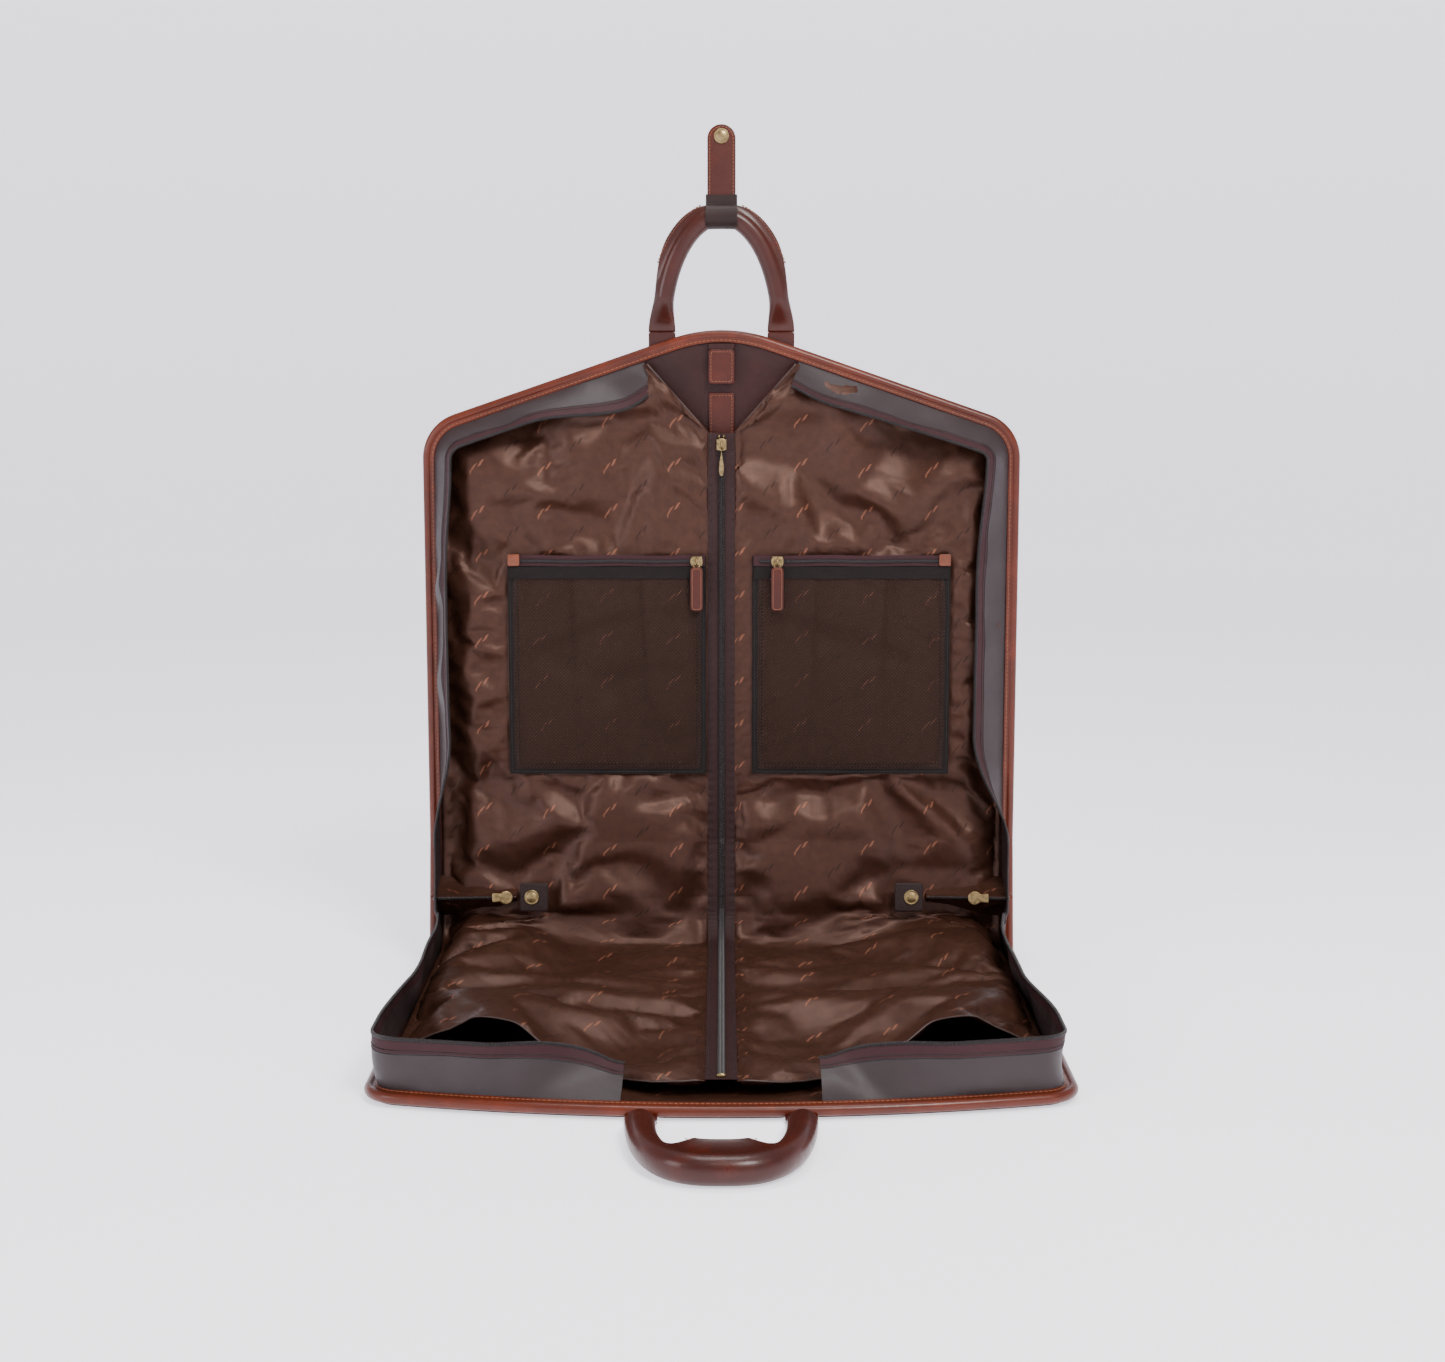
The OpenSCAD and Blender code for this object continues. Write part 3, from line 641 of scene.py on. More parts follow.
class Nodes:
    """A small helper that adds and links shader nodes in one tree."""

    def __init__(self, tree: bpy.types.NodeTree) -> None:
        """Keeps the tree that nodes go into."""
        self.tree = tree

    def add(self, kind: str, inputs: dict | None = None, **settings) -> bpy.types.Node:
        """Adds a node.

        Args:
            kind: its type without the ShaderNode prefix.
            inputs: socket name or number to a value or to another socket.
            settings: attributes of the node.

        Returns:
            The node.
        """
        node = self.tree.nodes.new(f"ShaderNode{kind}")
        for key, value in settings.items():
            setattr(node, key, value)
        for key, value in (inputs or {}).items():
            if isinstance(value, bpy.types.NodeSocket):
                self.tree.links.new(value, node.inputs[key])
            else:
                node.inputs[key].default_value = value
        return node

    def math(self, operation: str, a, b=0.0, c=0.0) -> bpy.types.NodeSocket:
        """The result of a Math node."""
        return self.add("Math", {0: a, 1: b, 2: c}, operation=operation).outputs[0]

    def noise(self, vector, scale, detail: float = 3.0, rough: float = 0.55) -> bpy.types.NodeSocket:
        """The value of a Noise texture."""
        return self.add("TexNoise", {"Vector": vector, "Scale": scale, "Detail": detail,
                                     "Roughness": rough}).outputs["Fac"]

    def span(self, value, low: float, high: float, to_low: float = 0.0, to_high: float = 1.0
             ) -> bpy.types.NodeSocket:
        """A value mapped smoothly from one range to another."""
        return self.add("MapRange", {"Value": value, "From Min": low, "From Max": high, "To Min": to_low,
                                     "To Max": to_high}, interpolation_type="SMOOTHSTEP").outputs["Result"]

    def mix(self, share, a, b) -> bpy.types.NodeSocket:
        """A colour between a and b."""
        node = self.add("Mix", {}, data_type="RGBA")
        for number, value in ((0, share), (6, a), (7, b)):
            if isinstance(value, bpy.types.NodeSocket):
                self.tree.links.new(value, node.inputs[number])
            else:
                node.inputs[number].default_value = value
        return node.outputs[2]


def new_group(name: str, inputs: Sequence[tuple[str, str, float]], outputs: Sequence[str]
              ) -> tuple[Nodes, bpy.types.Node, bpy.types.Node]:
    """A shader node group with named sockets.

    Args:
        name: the group's name.
        inputs: name, socket type and default value of each input.
        outputs: the names of its value outputs.

    Returns:
        The helper for its tree, its input node and its output node.
    """
    tree = bpy.data.node_groups.new(name, "ShaderNodeTree")
    for label, kind, default in inputs:
        socket = tree.interface.new_socket(label, in_out="INPUT", socket_type=f"NodeSocket{kind}")
        if kind == "Float":
            socket.default_value = default
    for label in outputs:
        tree.interface.new_socket(label, in_out="OUTPUT", socket_type="NodeSocketFloat")
    nodes = Nodes(tree)
    return nodes, tree.nodes.new("NodeGroupInput"), tree.nodes.new("NodeGroupOutput")


def hide_group() -> bpy.types.NodeTree:
    """Leather: pebbled cells with creases between them, pores, and slow changes of tone.

    Returns:
        A group that puts out Height, Tone and Rub from Vector and Cell, the cells' scale.
    """
    nodes, given, out = new_group("hide", [("Vector", "Vector", 0), ("Cell", "Float", 620.0)],
                                  ["Height", "Tone", "Rub"])
    vector, cell = given.outputs["Vector"], given.outputs["Cell"]
    bend = nodes.add("TexNoise", {"Vector": vector, "Scale": 160.0, "Detail": 2.0}).outputs["Color"]
    moved = nodes.add("VectorMath", {0: bend, 1: (0.0022, 0.0022, 0.0022), 2: vector},
                      operation="MULTIPLY_ADD").outputs[0]
    cells = nodes.add("TexVoronoi", {"Vector": moved, "Scale": cell}, feature="DISTANCE_TO_EDGE").outputs[0]
    pebble = nodes.span(cells, 0.02, 0.3)
    pores = nodes.noise(vector, 2600.0, 2.0)
    crease = nodes.span(nodes.noise(moved, 90.0, 4.0, 0.7), 0.42, 0.5)
    height = nodes.math("MULTIPLY_ADD", pores, 0.25, nodes.math("MULTIPLY_ADD", crease, 0.5, pebble))
    tone = nodes.span(nodes.noise(vector, 9.0, 4.0, 0.6), 0.3, 0.72)
    rub = nodes.span(nodes.noise(vector, 38.0, 5.0, 0.65), 0.48, 0.75)
    for label, value in (("Height", height), ("Tone", tone), ("Rub", rub)):
        nodes.tree.links.new(value, out.inputs[label])
    return nodes.tree


def weave_group() -> bpy.types.NodeTree:
    """Woven cloth: over-and-under threads of two directions, with a twill shift from row to row.

    Returns:
        A group that puts out Height and Slub from Vector, Pitch, the threads a metre, and Twill.
    """
    nodes, given, out = new_group("weave", [("Vector", "Vector", 0), ("Pitch", "Float", 2400.0),
                                            ("Twill", "Float", 0.0)], ["Height", "Slub"])
    split = nodes.add("SeparateXYZ", {0: given.outputs["Vector"]})
    pitch = given.outputs["Pitch"]
    u = nodes.math("MULTIPLY", split.outputs[0], pitch)
    v = nodes.math("MULTIPLY", split.outputs[1], pitch)
    shifted = nodes.math("MULTIPLY_ADD", v, given.outputs["Twill"], u)
    warp = nodes.math("SINE", nodes.math("MULTIPLY", shifted, math.pi))
    weft = nodes.math("SINE", nodes.math("MULTIPLY", v, math.pi))
    height = nodes.math("MULTIPLY_ADD", nodes.math("ABSOLUTE", warp), 0.6,
                        nodes.math("MULTIPLY", nodes.math("ABSOLUTE", weft), 0.4))
    slub = nodes.noise(given.outputs["Vector"], 120.0, 3.0)
    nodes.tree.links.new(height, out.inputs["Height"])
    nodes.tree.links.new(slub, out.inputs["Slub"])
    return nodes.tree


def sprig_group() -> bpy.types.NodeTree:
    """A woven sprig: two slim leaves on a slant in each tile, every other column dropped by half a tile.

    Returns:
        A group that puts out Mask, 1 on the leaves, and Turn, 0 or 1 by column, from Vector in metres.
    """
    nodes, given, out = new_group("sprig", [("Vector", "Vector", 0)], ["Mask", "Turn"])
    split = nodes.add("SeparateXYZ", {0: given.outputs["Vector"]})
    column = nodes.math("DIVIDE", split.outputs[0], 0.031)
    cell = nodes.math("FLOOR", column)
    odd = nodes.math("PINGPONG", cell, 1.0)
    row = nodes.math("ADD", nodes.math("DIVIDE", split.outputs[1], 0.042), nodes.math("MULTIPLY", odd, 0.5))
    a = nodes.math("MULTIPLY", nodes.math("SUBTRACT", nodes.math("FRACT", column), 0.5), 31.0)
    b = nodes.math("MULTIPLY", nodes.math("SUBTRACT", nodes.math("FRACT", row), 0.5), 42.0)
    c, s = math.cos(math.radians(42)), math.sin(math.radians(42))
    along = nodes.math("ADD", nodes.math("MULTIPLY", a, c), nodes.math("MULTIPLY", b, s))
    across = nodes.math("SUBTRACT", nodes.math("MULTIPLY", b, c), nodes.math("MULTIPLY", a, s))
    mask = 0.0
    for shift, lift, half, wide in ((-3.0, 0.6, 6.5, 1.0), (5.0, -0.7, 5.0, 1.25), (-7.5, -1.1, 2.4, 0.8)):
        place = nodes.math("DIVIDE", nodes.math("SUBTRACT", along, shift), half)
        body = nodes.math("SUBTRACT", 1.0, nodes.math("MULTIPLY", place, place))
        wave = nodes.math("MULTIPLY", nodes.math("SINE", nodes.math("MULTIPLY", place, 2.4)), 0.7)
        off = nodes.math("ABSOLUTE", nodes.math("SUBTRACT", nodes.math("SUBTRACT", across, lift), wave))
        leaf = nodes.span(nodes.math("SUBTRACT", nodes.math("MULTIPLY", body, wide), off), 0.0, 0.35)
        mask = nodes.math("MAXIMUM", mask, leaf)
    grain = nodes.span(nodes.noise(given.outputs["Vector"], 1400.0, 1.0), 0.35, 0.6, 0.35, 1.0)
    nodes.tree.links.new(nodes.math("MULTIPLY", mask, grain), out.inputs["Mask"])
    nodes.tree.links.new(odd, out.inputs["Turn"])
    return nodes.tree


def net_group() -> bpy.types.NodeTree:
    """Knitted net: round holes on two lattices, one dropped by half a step.

    Returns:
        A group that puts out Cloth, 1 on the threads and 0 in the holes, and Height, from Vector and Step.
    """
    nodes, given, out = new_group("net", [("Vector", "Vector", 0), ("Step", "Float", 0.0034)],
                                  ["Cloth", "Height"])
    split = nodes.add("SeparateXYZ", {0: given.outputs["Vector"]})
    u = nodes.math("DIVIDE", split.outputs[0], given.outputs["Step"])
    v = nodes.math("DIVIDE", split.outputs[1], given.outputs["Step"])
    nearest = 1.0
    for shift in (0.0, 0.5):
        a = nodes.math("SUBTRACT", nodes.math("FRACT", nodes.math("ADD", u, shift)), 0.5)
        b = nodes.math("SUBTRACT", nodes.math("FRACT", nodes.math("ADD", v, shift)), 0.5)
        far = nodes.math("SQRT", nodes.math("MULTIPLY_ADD", a, a, nodes.math("MULTIPLY", b, b)))
        nearest = nodes.math("MINIMUM", nearest, far)
    nodes.tree.links.new(nodes.span(nearest, 0.23, 0.27), out.inputs["Cloth"])
    nodes.tree.links.new(nodes.span(nearest, 0.2, 0.34), out.inputs["Height"])
    return nodes.tree


def patina_group() -> bpy.types.NodeTree:
    """Aged metal: dark bloom in clouds and fine scratches.

    Returns:
        A group that puts out Bloom and Scratch from Vector.
    """
    nodes, given, out = new_group("patina", [("Vector", "Vector", 0)], ["Bloom", "Scratch"])
    vector = given.outputs["Vector"]
    bloom = nodes.span(nodes.noise(vector, 260.0, 5.0, 0.65), 0.38, 0.68)
    drawn = nodes.add("Mapping", {"Vector": vector, "Scale": (1.0, 1.0, 14.0)}).outputs[0]
    nodes.tree.links.new(bloom, out.inputs["Bloom"])
    nodes.tree.links.new(nodes.noise(drawn, 900.0, 2.0), out.inputs["Scratch"])
    return nodes.tree


GROUPS: dict[str, Callable[[], bpy.types.NodeTree]] = {
    "hide": hide_group, "weave": weave_group, "sprig": sprig_group, "net": net_group, "patina": patina_group}


def group_node(nodes: Nodes, name: str, inputs: dict) -> bpy.types.Node:
    """Places a shared group, which is built the first time.

    Args:
        nodes: the tree it goes into.
        name: which group.
        inputs: its input values or sockets.

    Returns:
        The group node.
    """
    tree = bpy.data.node_groups.get(name) or GROUPS[name]()
    node = nodes.tree.nodes.new("ShaderNodeGroup")
    node.node_tree = tree
    for key, value in inputs.items():
        if isinstance(value, bpy.types.NodeSocket):
            nodes.tree.links.new(value, node.inputs[key])
        else:
            node.inputs[key].default_value = value
    return node


# ---- Finishes ----

Colour = tuple[float, float, float]


def rgba(colour: Colour) -> tuple[float, float, float, float]:
    """A colour with full alpha."""
    return (*colour, 1.0)


def shade(colour: Colour, factor: float) -> Colour:
    """A colour made lighter or darker by a factor."""
    return tuple(min(1.0, c * factor) for c in colour)


@dataclass(frozen=True)
class Finish:
    """What all finishes share: a name, the record's slot, a base colour and a roughness."""

    name: str
    slot: str
    colour: Colour
    rough: float = 0.5

    def material(self) -> bpy.types.Material:
        """The finish's material, which is built the first time."""
        found = bpy.data.materials.get(f"{self.name}_finish")
        if found:
            return found
        material = bpy.data.materials.new(f"{self.name}_finish")
        material.use_nodes = True
        material.node_tree.nodes.clear()
        nodes = Nodes(material.node_tree)
        surface = nodes.add("BsdfPrincipled")
        output = nodes.add("OutputMaterial")
        nodes.tree.links.new(surface.outputs[0], output.inputs[0])
        self.paint(nodes, surface)
        return material

    def paint(self, nodes: Nodes, surface: bpy.types.Node) -> None:
        """Feeds the surface shader; each kind of finish has its own."""
        raise NotImplementedError

    def feed(self, nodes: Nodes, surface: bpy.types.Node, height, distance: float, strength: float = 0.5,
             **sockets) -> None:
        """Links sockets of the surface and gives it a bump from a height.

        Args:
            nodes: the material's tree.
            surface: its shader.
            height: the height's socket.
            distance: how high it is, in metres.
            strength: how much it tells.
            sockets: input names, with spaces as underscores, to values or sockets.
        """
        raised = nodes.add("Bump", {"Height": height, "Distance": distance, "Strength": strength})
        nodes.tree.links.new(raised.outputs[0], surface.inputs["Normal"])
        for key, value in sockets.items():
            socket = surface.inputs[key.replace("_", " ")]
            if isinstance(value, bpy.types.NodeSocket):
                nodes.tree.links.new(value, socket)
            else:
                socket.default_value = value


@dataclass(frozen=True)
class Leather(Finish):
    """Waxed full-grain leather with a thin gloss, darker in clouds and lighter where it is rubbed."""

    cell: float = 620.0
    gloss: float = 0.35
    lift: float = 0.00014

    def paint(self, nodes: Nodes, surface: bpy.types.Node) -> None:
        """Tone darkens the base, Rub lightens it and makes it shine, and Height is the grain."""
        place = nodes.add("TexCoord").outputs["Object"]
        hide = group_node(nodes, "hide", {"Vector": place, "Cell": self.cell})
        body = nodes.mix(hide.outputs["Tone"], rgba(self.colour), rgba(shade(self.colour, 0.62)))
        share = nodes.math("MULTIPLY", hide.outputs["Rub"], 0.55)
        rubbed = nodes.mix(share, body, rgba(shade(self.colour, 1.55)))
        rough = nodes.math("SUBTRACT", self.rough + 0.06, nodes.math("MULTIPLY", hide.outputs["Rub"], 0.14))
        self.feed(nodes, surface, hide.outputs["Height"], self.lift, 0.55, Base_Color=rubbed, Roughness=rough,
                  Coat_Weight=self.gloss, Coat_Roughness=0.2, Specular_IOR_Level=0.22)


@dataclass(frozen=True)
class Satin(Finish):
    """Lining satin with a woven sprig, in light copper and dark thread by turns."""

    light: Colour = (0.25, 0.092, 0.052)
    metal: float = 0.4

    def paint(self, nodes: Nodes, surface: bpy.types.Node) -> None:
        """The weave is the bump, slubs vary the tone, and the sprig mixes in its two threads."""
        place = nodes.add("TexCoord").outputs["UV"]
        weave = group_node(nodes, "weave", {"Vector": place, "Pitch": 2600.0, "Twill": 1.0})
        sprig = group_node(nodes, "sprig", {"Vector": place})
        body = nodes.mix(nodes.span(weave.outputs["Slub"], 0.3, 0.7), rgba(shade(self.colour, 0.85)),
                         rgba(shade(self.colour, 1.12)))
        cloud = nodes.span(nodes.noise(place, 14.0, 3.0), 0.3, 0.7, 0.0, 0.35)
        body = nodes.mix(cloud, body, rgba(shade(self.colour, 0.7)))
        thread = nodes.mix(sprig.outputs["Turn"], rgba(self.light), rgba(shade(self.colour, 0.3)))
        worn = nodes.math("MULTIPLY", sprig.outputs["Mask"], 0.8)
        colour = nodes.mix(worn, body, thread)
        rough = nodes.math("MULTIPLY_ADD", sprig.outputs["Mask"], 0.15, self.rough)
        height = nodes.math("MULTIPLY_ADD", sprig.outputs["Mask"], 0.8, weave.outputs["Height"])
        self.feed(nodes, surface, height, 0.00006, 0.35, Base_Color=colour, Roughness=rough,
                  Metallic=self.metal, Specular_IOR_Level=0.3)


@dataclass(frozen=True)
class Woven(Finish):
    """Plain or ribbed woven cloth, such as nylon, tape and binding."""

    pitch: float = 1800.0
    twill: float = 0.0
    lift: float = 0.00008
    sheen: float = 0.0
    shine: float = 0.16

    def paint(self, nodes: Nodes, surface: bpy.types.Node) -> None:
        """The threads are the bump, and the cloth in the hollows between them is darkened as painted shade;
        slow clouds vary the tone.
        """
        place = nodes.add("TexCoord").outputs["UV"]
        weave = group_node(nodes, "weave", {"Vector": place, "Pitch": self.pitch, "Twill": self.twill})
        # painted shade: the weave's height darkens the hollows between the threads
        body = nodes.mix(nodes.span(weave.outputs["Height"], 0.1, 0.8), rgba(shade(self.colour, 0.6)),
                         rgba(shade(self.colour, 1.1)))
        cloud = nodes.span(nodes.noise(place, 22.0, 4.0, 0.6), 0.35, 0.7, 0.0, 0.4)
        body = nodes.mix(cloud, body, rgba(shade(self.colour, 1.35)))
        rough = nodes.math("MULTIPLY_ADD", weave.outputs["Slub"], 0.2, self.rough - 0.1)
        self.feed(nodes, surface, weave.outputs["Height"], self.lift, 0.5, Base_Color=body, Roughness=rough,
                  Sheen_Weight=self.sheen, Sheen_Roughness=0.4,
                  Specular_IOR_Level=self.shine)


@dataclass(frozen=True)
class Net(Finish):
    """Knitted net with open holes."""

    step: float = 0.0034

    def paint(self, nodes: Nodes, surface: bpy.types.Node) -> None:
        """Cloth is the alpha, Height rounds the threads, and noise varies their colour."""
        place = nodes.add("TexCoord").outputs["UV"]
        net = group_node(nodes, "net", {"Vector": place, "Step": self.step})
        body = nodes.mix(nodes.span(nodes.noise(place, 900.0, 2.0), 0.3, 0.7), rgba(shade(self.colour, 0.7)),
                         rgba(shade(self.colour, 1.3)))
        self.feed(nodes, surface, net.outputs["Height"], 0.0003, 0.8, Base_Color=body, Roughness=self.rough,
                  Specular_IOR_Level=0.12, Alpha=net.outputs["Cloth"])


@dataclass(frozen=True)
class Metal(Finish):
    """Antique brass, browned in clouds."""

    def paint(self, nodes: Nodes, surface: bpy.types.Node) -> None:
        """Bloom darkens and dulls the brass, and scratches lift it a little."""
        place = nodes.add("TexCoord").outputs["Object"]
        patina = group_node(nodes, "patina", {"Vector": place})
        bloom = patina.outputs["Bloom"]
        share = nodes.math("MULTIPLY", bloom, 0.75)
        body = nodes.mix(share, rgba(self.colour), rgba(shade(self.colour, 0.35)))
        rough = nodes.math("MULTIPLY_ADD", bloom, 0.22, self.rough)
        self.feed(nodes, surface, patina.outputs["Scratch"], 0.00003, 0.4, Base_Color=body, Roughness=rough)
        surface.inputs["Metallic"].default_value = 1.0


@dataclass(frozen=True)
class Plain(Finish):
    """Thread, edge paint, coil, board or rope: fine noise in tone and height."""

    scale: float = 1500.0
    lift: float = 0.00008
    gloss: float = 0.0

    def paint(self, nodes: Nodes, surface: bpy.types.Node) -> None:
        """One noise varies the tone and the height, and a slower one the roughness."""
        place = nodes.add("TexCoord").outputs["Object"]
        fine = nodes.noise(place, self.scale, 3.0)
        share = nodes.span(fine, 0.3, 0.7)
        body = nodes.mix(share, rgba(shade(self.colour, 0.65)), rgba(shade(self.colour, 1.25)))
        rough = nodes.math("MULTIPLY_ADD", nodes.noise(place, self.scale / 20, 2.0), 0.2, self.rough - 0.1)
        self.feed(nodes, surface, fine, self.lift, 0.5, Base_Color=body, Roughness=rough,
                  Coat_Weight=self.gloss, Coat_Roughness=0.15)


COVER = Leather("cover_leather", "cover_leather", (0.046, 0.0092, 0.0042), 0.36)
PIPING = Leather("piping_leather", "cover_leather", (0.100, 0.0160, 0.0052), 0.32, gloss=0.22, lift=0.0001)
HANDLE = Leather("handle_leather", "handle_leather", (0.047, 0.0070, 0.0030), 0.32, gloss=0.22, lift=0.0001)
STRAP = Leather("strap_leather", "cover_leather", (0.056, 0.0086, 0.0036), 0.35, gloss=0.15)
FACING = Leather("facing_leather", "facing_leather", (0.025, 0.0036, 0.0024), 0.38, cell=900.0, gloss=0.08)
TAB = Leather("tab_leather", "facing_leather", (0.018, 0.0066, 0.0052), 0.45, cell=800.0, gloss=0.04)
END_TAB = Leather("end_tab_leather", "cover_leather", (0.15, 0.036, 0.013), 0.35)
SATIN = Satin("satin", "satin", (0.052, 0.0196, 0.0112), 0.42)
NYLON = Woven("nylon", "nylon", (0.026, 0.0172, 0.0178), 0.46, pitch=2200.0, shine=0.3)
TAPE = Woven("zip_tape", "zip_tape", (0.032, 0.0115, 0.0135), 0.62, pitch=1500.0, twill=1.0)
CENTRE_TAPE = Woven("centre_tape", "zip_tape", (0.024, 0.0098, 0.0095), 0.6, pitch=1500.0, twill=1.0)
BINDING = Woven("binding", "binding", (0.0078, 0.005, 0.0046), 0.7, pitch=620.0, lift=0.0002)
NET = Net("mesh", "mesh", (0.030, 0.0150, 0.0105), 0.6)
COIL = Plain("coil", "zip_tape", (0.0125, 0.0078, 0.0078), 0.45, gloss=0.02)
BRASS = Metal("brass", "brass", (0.30, 0.215, 0.10), 0.32)
THREAD = Plain("thread", "cover_leather", (0.21, 0.070, 0.028), 0.7, scale=2500.0)
DARK_THREAD = Plain("dark_thread", "nylon", (0.009, 0.0055, 0.0055), 0.7, scale=2500.0)
EDGE = Plain("edge_paint", "handle_leather", (0.004, 0.0038, 0.0045), 0.35, gloss=0.4)
BOARD = Plain("board", "board", (0.20, 0.14, 0.08), 0.8, scale=300.0)
ROPE = Plain("rope", "rope", (0.30, 0.22, 0.13), 0.85, scale=500.0, lift=0.0004)


def dress(piece: bpy.types.Object, *finishes: Finish) -> bpy.types.Object:
    """Gives a piece its finishes.

    Args:
        piece: the piece.
        finishes: one finish for each of its face marks.

    Returns:
        The piece.
    """
    piece.data.materials.clear()
    for finish in finishes:
        piece.data.materials.append(finish.material())
    return piece


def report(piece: bpy.types.Object, rides: str) -> bpy.types.Object:
    """Logs a piece and what it rides on."""
    LOG.info("%s: %d faces on %s", piece.name, len(piece.data.polygons), rides)
    return piece


def ride(piece: bpy.types.Object, body: str, *nodes: str) -> bpy.types.Object:
    """Lets a piece ride on a body and stand for CAD nodes.

    Args:
        piece: the piece.
        body: the body's name.
        nodes: the CAD nodes that it replaces.

    Returns:
        The piece.
    """
    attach(piece, body)
    if nodes:
        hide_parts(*nodes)
    return report(piece, body)


def bend(piece: bpy.types.Object, half: Half, reach: float, *nodes: str) -> bpy.types.Object:
    """Bakes a piece's placement into its mesh, lets it stand for CAD nodes, and logs it with its half and the
    spine.

    Args:
        piece: the piece.
        half: which half it belongs to.
        reach: how far from the fold, on each side, the turn would be spread; not used for the piece.
        nodes: the CAD nodes that it replaces.

    Returns:
        The piece.
    """
    before, after = BAG.at(0, -reach, 0), BAG.at(0, reach, 0)
    if half is Half.UPPER:
        before, after = BAG.at(0, BAG.spine_w - reach, 0), BAG.at(0, BAG.spine_w + reach, 0)
    bodies = (half.body, "spine") if half is Half.LOWER else ("spine", half.body)
    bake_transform(piece)
    if nodes:
        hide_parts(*nodes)
    return report(piece, " and ".join(bodies))


# ---- Leather, boards and lining ----


def column_grid(xs: Array, low: Array, high: Array, shares: Array) -> tuple[Array, Array]:
    """A grid of columns across the bag, each from its own low to its own high.

    Args:
        xs: where the columns stand.
        low: where each starts.
        high: where each ends.
        shares: the rows' places from 0 to 1.

    Returns:
        x and t, rows by columns.
    """
    t = low[None] + (high - low)[None] * shares[:, None]
    return np.broadcast_to(xs[None], t.shape), t


def dense_shares(count: int, power: float = 1.6) -> Array:
    """Places from 0 to 1 that crowd towards 1, as 1 minus a falling power."""
    return 1.0 - (1.0 - np.linspace(0.0, 1.0, count)) ** power


def round_columns(half_width: float, count: int) -> Array:
    """Columns across the bag that crowd towards both sides, as a sine."""
    return half_width * np.sin(np.linspace(-math.pi / 2, math.pi / 2, count))


@dataclass
class Panels:
    """The leather covers, their boards and the linings over them."""

    cover_in: float = 9.0 * MM
    lining_in: float = 11.6 * MM
    foot_w: float = 26 * MM
    chape_t: float = 2.4 * MM
    feet: dict[Half, float] = field(default_factory=lambda: {Half.LOWER: 63 * MM, Half.UPPER: 57.4 * MM})
    chape_start: float = 438 * MM

    def rim(self, half: Half, inset: float, xs: Array) -> Array:
        """The strip coordinate of a half's outer edge at each x."""
        v = BAG.v_front(inset, xs) if half is Half.LOWER else BAG.v_top(inset, xs)
        return BAG.t_of(half, v)

    def grid(self, half: Half, inset: float, columns: int, rows: int) -> tuple[Array, Array]:
        """x and t of a panel from its outer edge to the spine's middle."""
        xs = round_columns(BAG.half_w - inset, columns)
        rim = self.rim(half, inset, xs)
        return column_grid(xs, rim, np.full_like(xs, BAG.mid), dense_shares(rows))

    def cover(self, half: Half) -> None:
        """The leather of one half and of half the spine, with a sunk seat for each handle tab.

        The outer face lies 4.2 mm out. It sinks by the tab's thickness over a soft rectangle round each tab,
        and on the upper half it is a little crowned, as sine of x times sine of t.
        """
        x, t = self.grid(half, self.cover_in, 181, 150)
        v = -t if half is Half.LOWER else t - BAG.spine_w
        off = np.abs(np.abs(x) - self.feet[half]) - self.foot_w / 2
        seat = (1 - smooth(off, 0.0, 1.4 * MM)) * smooth(v, self.chape_start - 1.4 * MM, self.chape_start)
        outer = -BAG.cover_t + (self.chape_t + 0.1 * MM) * seat
        if half is Half.UPPER:
            rise = np.sin(math.pi * np.clip(v / BAG.upper_len, 0, 1))
            crown = np.cos(0.5 * math.pi * x / BAG.half_w) * rise
            ripple = creases(x, t, 80, 60 * MM, 3) * 0.5
            outer = outer - MM * np.clip(crown * (1.6 + ripple), 0, None) * (1 - seat)
        inner = -0.2 * MM
        points = BAG.at(x, t, (outer + inner) / 2)
        piece = shell(f"cover_{half.value}", points, inner - outer, np.stack([x, t], axis=-1))
        dress(piece, COVER)
        nodes = ("lower_cover", "spine_cover") if half is Half.LOWER else ("upper_cover",)
        bend(piece, half, 18 * MM, *nodes)
        self.cover_stitches(half)

    def cover_stitches(self, half: Half) -> None:
        """A row of stitches round the outside, a little inside the piping."""
        path = BAG.edge(half, 15 * MM, start_t=BAG.t_of(half, 20 * MM))
        path = np.concatenate([path, path[::-1][1:] * [-1, 1]])
        low = -BAG.cover_t - (0.05 * MM if half is Half.LOWER else 0.2 * MM)
        line = BAG.at(path[:, 0], path[:, 1], low + 0.1 * MM)
        out = BAG.at(path[:, 0], path[:, 1], low - 0.9 * MM) - line
        row = stitch_row(f"cover_stitches_{half.value}", line, out, width=0.5 * MM)
        ride(dress(row, THREAD), half.body)

    def lining(self, half: Half) -> None:
        """The satin over the board: soft creases of up to a millimetre over a flat seat."""
        x, t = self.grid(half, self.lining_in, 121, 130)
        on_half = -t if half is Half.LOWER else t - BAG.spine_w
        height = (1.5 + 1.4 * smooth(on_half, 0.0, 30 * MM)) * MM
        wrinkle = creases(x, t, 12 if half is Half.LOWER else 70, 26 * MM, 11) * 0.5
        wrinkle = wrinkle + creases(x, t, -35, 45 * MM, 12) * 0.5
        height = height + MM * np.abs(wrinkle)
        points = BAG.at(x, t, height, 9 * MM)
        piece = shell(f"lining_{half.value}", points, 0.5 * MM, np.stack([x, t], axis=-1))
        dress(piece, SATIN)
        nodes = ("lower_lining", "spine_lining") if half is Half.LOWER else ("upper_lining",)
        bend(piece, half, 20 * MM, *nodes)

    def build(self) -> None:
        """Makes the covers, the linings, and the boards' finish."""
        for half in Half:
            self.cover(half)
            self.lining(half)
            dress(frame["nodes"][f"{half.value}_board"], BOARD)


